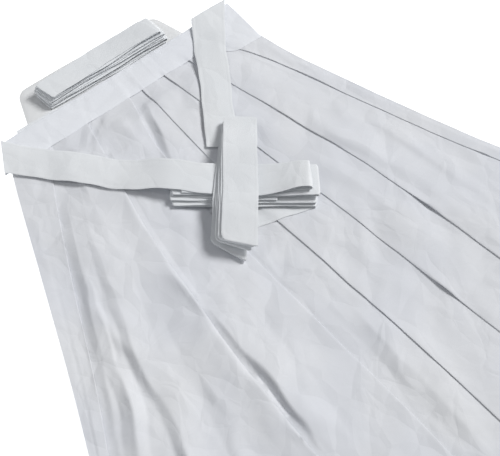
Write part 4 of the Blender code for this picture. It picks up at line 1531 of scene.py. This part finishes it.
@dataclass
class CornerTie:
    """Tie that turns at the band's left corner, crosses the front and folds on its stack."""

    along: tuple[float, ...] = (-0.122, -0.095, -0.063, -0.020, 0.020, 0.075, 0.115, 0.150, 0.221)
    across: tuple[float, ...] = (0.1230, 0.1273, 0.1331, 0.1415, 0.1485, 0.1532, 0.1588, 0.1600, 0.1586)
    start: float = -0.104
    climb_from: float = 0.004
    climb_to: float = 0.073
    return_to: float = 0.0840
    under_to: float = 0.0960
    corner_depth: float = 0.0385
    loop_from: float = 0.172
    loop_rise: float = 0.0075
    loop_draw: float = 0.0030
    far_lift: float = 0.35
    steps: int = 110
    tie_level: float = 9.0

    def height(self, surface: Array, along: float, x: Array, down: Array) -> Array:
        """Middle of the tie, lying on the front and then climbing on its own stack."""
        raised = RIGHT_STACK.height_at(self.tie_level, max(along, self.climb_to))
        share = ease((along - self.climb_from) / (self.climb_to - self.climb_from))
        return mix(lying_height(surface, x, down), raised, share)

    def curl(self, along: float) -> tuple[Array, Array]:
        """Lift of the loop at the right end, and how far its near edge is drawn back."""
        share = ease((along - self.loop_from) / (self.along[-1] - self.loop_from))
        near = 0.5 + 0.5 * TIE_SIDES
        return self.loop_rise * share * mix(self.far_lift, 1.0, near), self.loop_draw * share * near

    def crossing(self) -> list[Array]:
        """Rows of points from the band's corner to the loop."""
        surface = LIE.draped(16, 12)
        down = self.corner_depth * TIE_SHARES
        x = BAND_LEFT_END + BAND_LEFT_SLANT * down
        rows = [points_at(x, down, lying_height(surface, x, down))]
        for along in np.linspace(self.start, self.along[-1], self.steps + 1):
            middle = float(smooth_table(self.along, self.across, along)) + tie_edges(along, 0.4)
            lift, draw = self.curl(along)
            x, down = turned(along, middle + TIE_SIDES * TIE_HALF)
            z = self.height(surface, along, x, down) + lift
            x, down = turned(along, middle + TIE_SIDES * TIE_HALF - draw)
            rows.append(points_at(x, down, z))
        return rows

    def loop(self, top: Array, across: Array) -> list[Array]:
        """Rows of points of the open loop, from the height top down to the run back."""
        end = self.along[-1]
        low = RIGHT_STACK.height_at(self.tie_level - 1, end)
        radius = (top - low) / 2
        rows = []
        for angle in (75, 55, 35, 15, -5, -25, -45, -65, -85):
            turn = math.radians(angle)
            x, down = turned(end + radius * math.cos(turn), across)
            rows.append(points_at(x, down, low + radius * (1 + math.sin(turn))))
        return rows

    def run_back(self, across: Array, draw: Array) -> list[Array]:
        """Rows of points from the loop back to the left end of the stack and in under itself."""
        folded = RIGHT_STACK.centre + RIGHT_STACK.folds[-1].shift + TIE_SIDES * TIE_HALF
        rows = []
        for share in np.linspace(0, 1, 30):
            along = mix(self.along[-1], self.return_to, share)
            centre = mix(across + draw * ease(share), folded, ease(share))
            x, down = turned(along, centre)
            rows.append(points_at(x, down, RIGHT_STACK.height_at(self.tie_level - 1, along)))
        high = RIGHT_STACK.height_at(self.tie_level - 1, self.return_to)
        drop = high - RIGHT_STACK.base - RIGHT_STACK.rise(self.tie_level - 2, self.return_to)
        for angle in (70, 35, 0, -35, -70):
            turn = math.radians(angle)
            x, down = turned(self.return_to - drop / 2 * math.cos(turn), centre)
            rows.append(points_at(x, down, high - drop / 2 * (1 - math.sin(turn))))
        x, down = turned(self.under_to, centre)
        rows.append(points_at(x, down, RIGHT_STACK.height_at(self.tie_level - 2, self.under_to)))
        return rows

    def build(self) -> bpy.types.Object:
        """Build the tie, its open loop at the right end and its run back to the left."""
        rows = self.crossing()
        draw = self.curl(self.along[-1])[1]
        middle = float(smooth_table(self.along, self.across, self.along[-1]))
        across = middle + TIE_SIDES * TIE_HALF - draw
        rows += self.loop(rows[-1][:, 2], across)
        rows += self.run_back(across, draw)
        points = np.stack(rows)
        piece = make_sheet("corner_tie", points, TIE_WALL, TIE_CLOTH, TIE_EDGE_SHARES)
        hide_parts("front_tie_right")
        log_length("corner_tie", points)
        return piece


@dataclass
class ShoulderTie:
    """Tie over the band's right end; edges are left x and down, then right x and down."""

    edges: tuple[tuple[float, float, float, float], ...] = (
        (0.113, -0.0049, 0.165, -0.0049),
        (0.102, 0.0130, 0.143, 0.0240),
        (0.089, 0.0340, 0.1205, 0.0560),
        (0.069, 0.0690, 0.0985, 0.0910),
        (0.048, 0.1040, 0.0760, 0.1260),
        (0.032, 0.1290, 0.0615, 0.1510),
        (0.016, 0.1530, 0.0460, 0.1760),
    )
    lip_low: float = 0.0020
    lip_depth: float = 0.0012
    steps: int = 90

    def build(self) -> bpy.types.Object:
        """Build the tie and its lip over the band's top edge."""
        surface = LIE.draped(16, 12)
        marks = tuple(range(len(self.edges)))
        rows = []
        for k in range(self.steps + 1):
            mark = marks[-1] * k / self.steps
            left_x, left_down, right_x, right_down = (
                float(smooth_table(marks, column, mark)) for column in zip(*self.edges)
            )
            x, down = mix(left_x, right_x, TIE_SHARES), mix(left_down, right_down, TIE_SHARES)
            x = x + tie_edges(down[0], 1.7)
            rows.append(points_at(x, down, lying_height(surface, x, down)))
        lip = []
        for share in (0.0, 0.3, 0.6, 0.85):
            turn = math.radians(90 * share)
            row = rows[0].copy()
            row[:, 2] = mix(self.lip_low, rows[0][:, 2], math.sin(turn))
            row[:, 1] = rows[0][:, 1] + self.lip_depth * math.cos(turn)
            lip.append(row)
        points = np.stack(lip + rows)
        piece = make_sheet("shoulder_tie", points, TIE_WALL, TIE_CLOTH, TIE_EDGE_SHARES)
        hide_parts("front_tie_left")
        log_length("shoulder_tie", points)
        return piece


@dataclass
class Studio:
    """Pale floor, soft lights and the camera at the photograph's angle."""

    camera_at: tuple[float, float, float] = (-0.2875, -0.1681, 0.8773)
    camera_to: tuple[float, float, float] = (-0.0055, 0.1863, 0.0)
    lens: float = 64.8
    sensor: float = 36.0
    floor_size: float = 9.0
    floor_grey: tuple[float, float, float, float] = (0.93, 0.93, 0.93, 1.0)
    floor_glow: float = 0.80
    light_from: tuple[float, float] = (0.972, -0.233)
    light_height: float = 48.0
    light_far: float = 20.0
    light_size: float = 6.6
    light_watts: float = 3030.0
    light_aim: tuple[float, float, float] = (0.0, 0.20, 0.0)
    sky: float = 0.225
    sky_colour: tuple[float, float, float, float] = (0.93, 0.96, 1.0, 1.0)
    fill_at: tuple[float, float, float] = (-0.90, 0.70, 1.50)
    fill_size: float = 1.2
    fill_watts: float = 3.5

    @staticmethod
    def aim(thing: bpy.types.Object, place: Vector, along: Vector) -> None:
        """Add a camera or light to the scene at a place, looking along a direction."""
        thing.location = place
        thing.rotation_mode = "QUATERNION"
        thing.rotation_quaternion = along.to_track_quat("-Z", "Y")
        bpy.context.scene.collection.objects.link(thing)

    def camera(self) -> None:
        """Set up the camera."""
        data = bpy.data.cameras.new("photo camera")
        data.lens, data.sensor_width = self.lens, self.sensor
        data.clip_start, data.clip_end = 0.01, 100.0
        camera = bpy.data.objects.new("photo camera", data)
        self.aim(camera, Vector(self.camera_at), Vector(self.camera_to) - Vector(self.camera_at))
        bpy.context.scene.camera = camera

    def floor(self) -> None:
        """Set up the floor."""
        bpy.ops.object.select_all(action="DESELECT")
        bpy.ops.mesh.primitive_plane_add(size=self.floor_size, location=(0, 0, 0))
        floor = bpy.context.object
        floor.name = "pale_floor"
        m = NodeMaker("pale floor")
        m.shader.inputs["Base Color"].default_value = self.floor_grey
        m.shader.inputs["Roughness"].default_value = 0.9
        m.shader.inputs["Specular IOR Level"].default_value = 0.1
        m.shader.inputs["Emission Color"].default_value = (1.0, 1.0, 1.0, 1.0)
        m.shader.inputs["Emission Strength"].default_value = self.floor_glow
        floor.data.materials.append(m.material)

    def light(self, name: str, size: float, watts: float, place: Vector, along: Vector) -> None:
        """Set up a round soft light at a place, shining along a direction."""
        data = bpy.data.lights.new(name, "AREA")
        data.shape, data.size, data.energy = "DISK", size, watts
        self.aim(bpy.data.objects.new(name, data), place, along)

    def lights(self) -> None:
        """Set up an even sky, one large soft light from the upper right and a weak one from the left."""
        world = bpy.data.worlds.new("studio sky")
        world.use_nodes = True
        background = world.node_tree.nodes["Background"]
        background.inputs["Color"].default_value = self.sky_colour
        background.inputs["Strength"].default_value = self.sky
        bpy.context.scene.world = world
        tall = math.radians(self.light_height)
        centre = Vector(self.light_aim)
        out = Vector((*(share * math.cos(tall) for share in self.light_from), math.sin(tall)))
        self.light("key softbox", self.light_size, self.light_watts, centre + out * self.light_far, -out)
        window = Vector(self.fill_at)
        self.light("window fill", self.fill_size, self.fill_watts, window, centre - window)

    def build(self) -> None:
        """Set up camera, floor and lights."""
        bpy.context.scene.view_settings.view_transform = "Standard"
        self.camera()
        self.floor()
        self.lights()


def main() -> None:
    """Build the studio and every piece."""
    logging.basicConfig(level=logging.INFO, format="%(name)s: %(message)s")
    Studio().build()
    pieces = [
        BackLeg("right_leg_back", "back_right_leg", -1, RIGHT_LEG_LINES["side edge"]).build(),
        BackLeg("left_leg_back", "back_left_leg", 1, LEFT_LEG_LINES["side edge"]).build(),
        Gusset().build(),
        FrontLeg(
            "right_leg_front", "front_right_leg", -1, RIGHT_LEG_LINES, "right",
            centre_panel=True, panel_steps=(26, 56, 8),
        ).build(),
        FrontLeg(
            "left_leg_front", "front_left_leg", 1, LEFT_LEG_LINES, "left", panel_steps=(20, 18, 34, 8),
        ).build(),
        Board().build(),
        WaistStrip().build(),
        Waistband().build(),
    ]
    RIGHT_STACK.settle()
    pieces += [RIGHT_STACK.build(), CornerTie().build(), ShoulderTie().build()]
    crossed = float(np.max(RIGHT_STACK.rise(CornerTie.tie_level, np.array(CROSSED_AT))))
    LEFT_STACK.base = RIGHT_STACK.base + crossed + TIE_WALL / 2 + SEAM_GAP
    pieces += [LEFT_STACK.build(), BACK_STACK.build()]
    for piece in pieces:
        piece.data.calc_loop_triangles()
        half = sum(p.area for p in piece.data.polygons) / 2
        log.info("%s: %d triangles, %.4f square metres", piece.name, len(piece.data.loop_triangles), half)
        CUTS[piece.name].declare(piece)


if __name__ == "__main__":
    main()
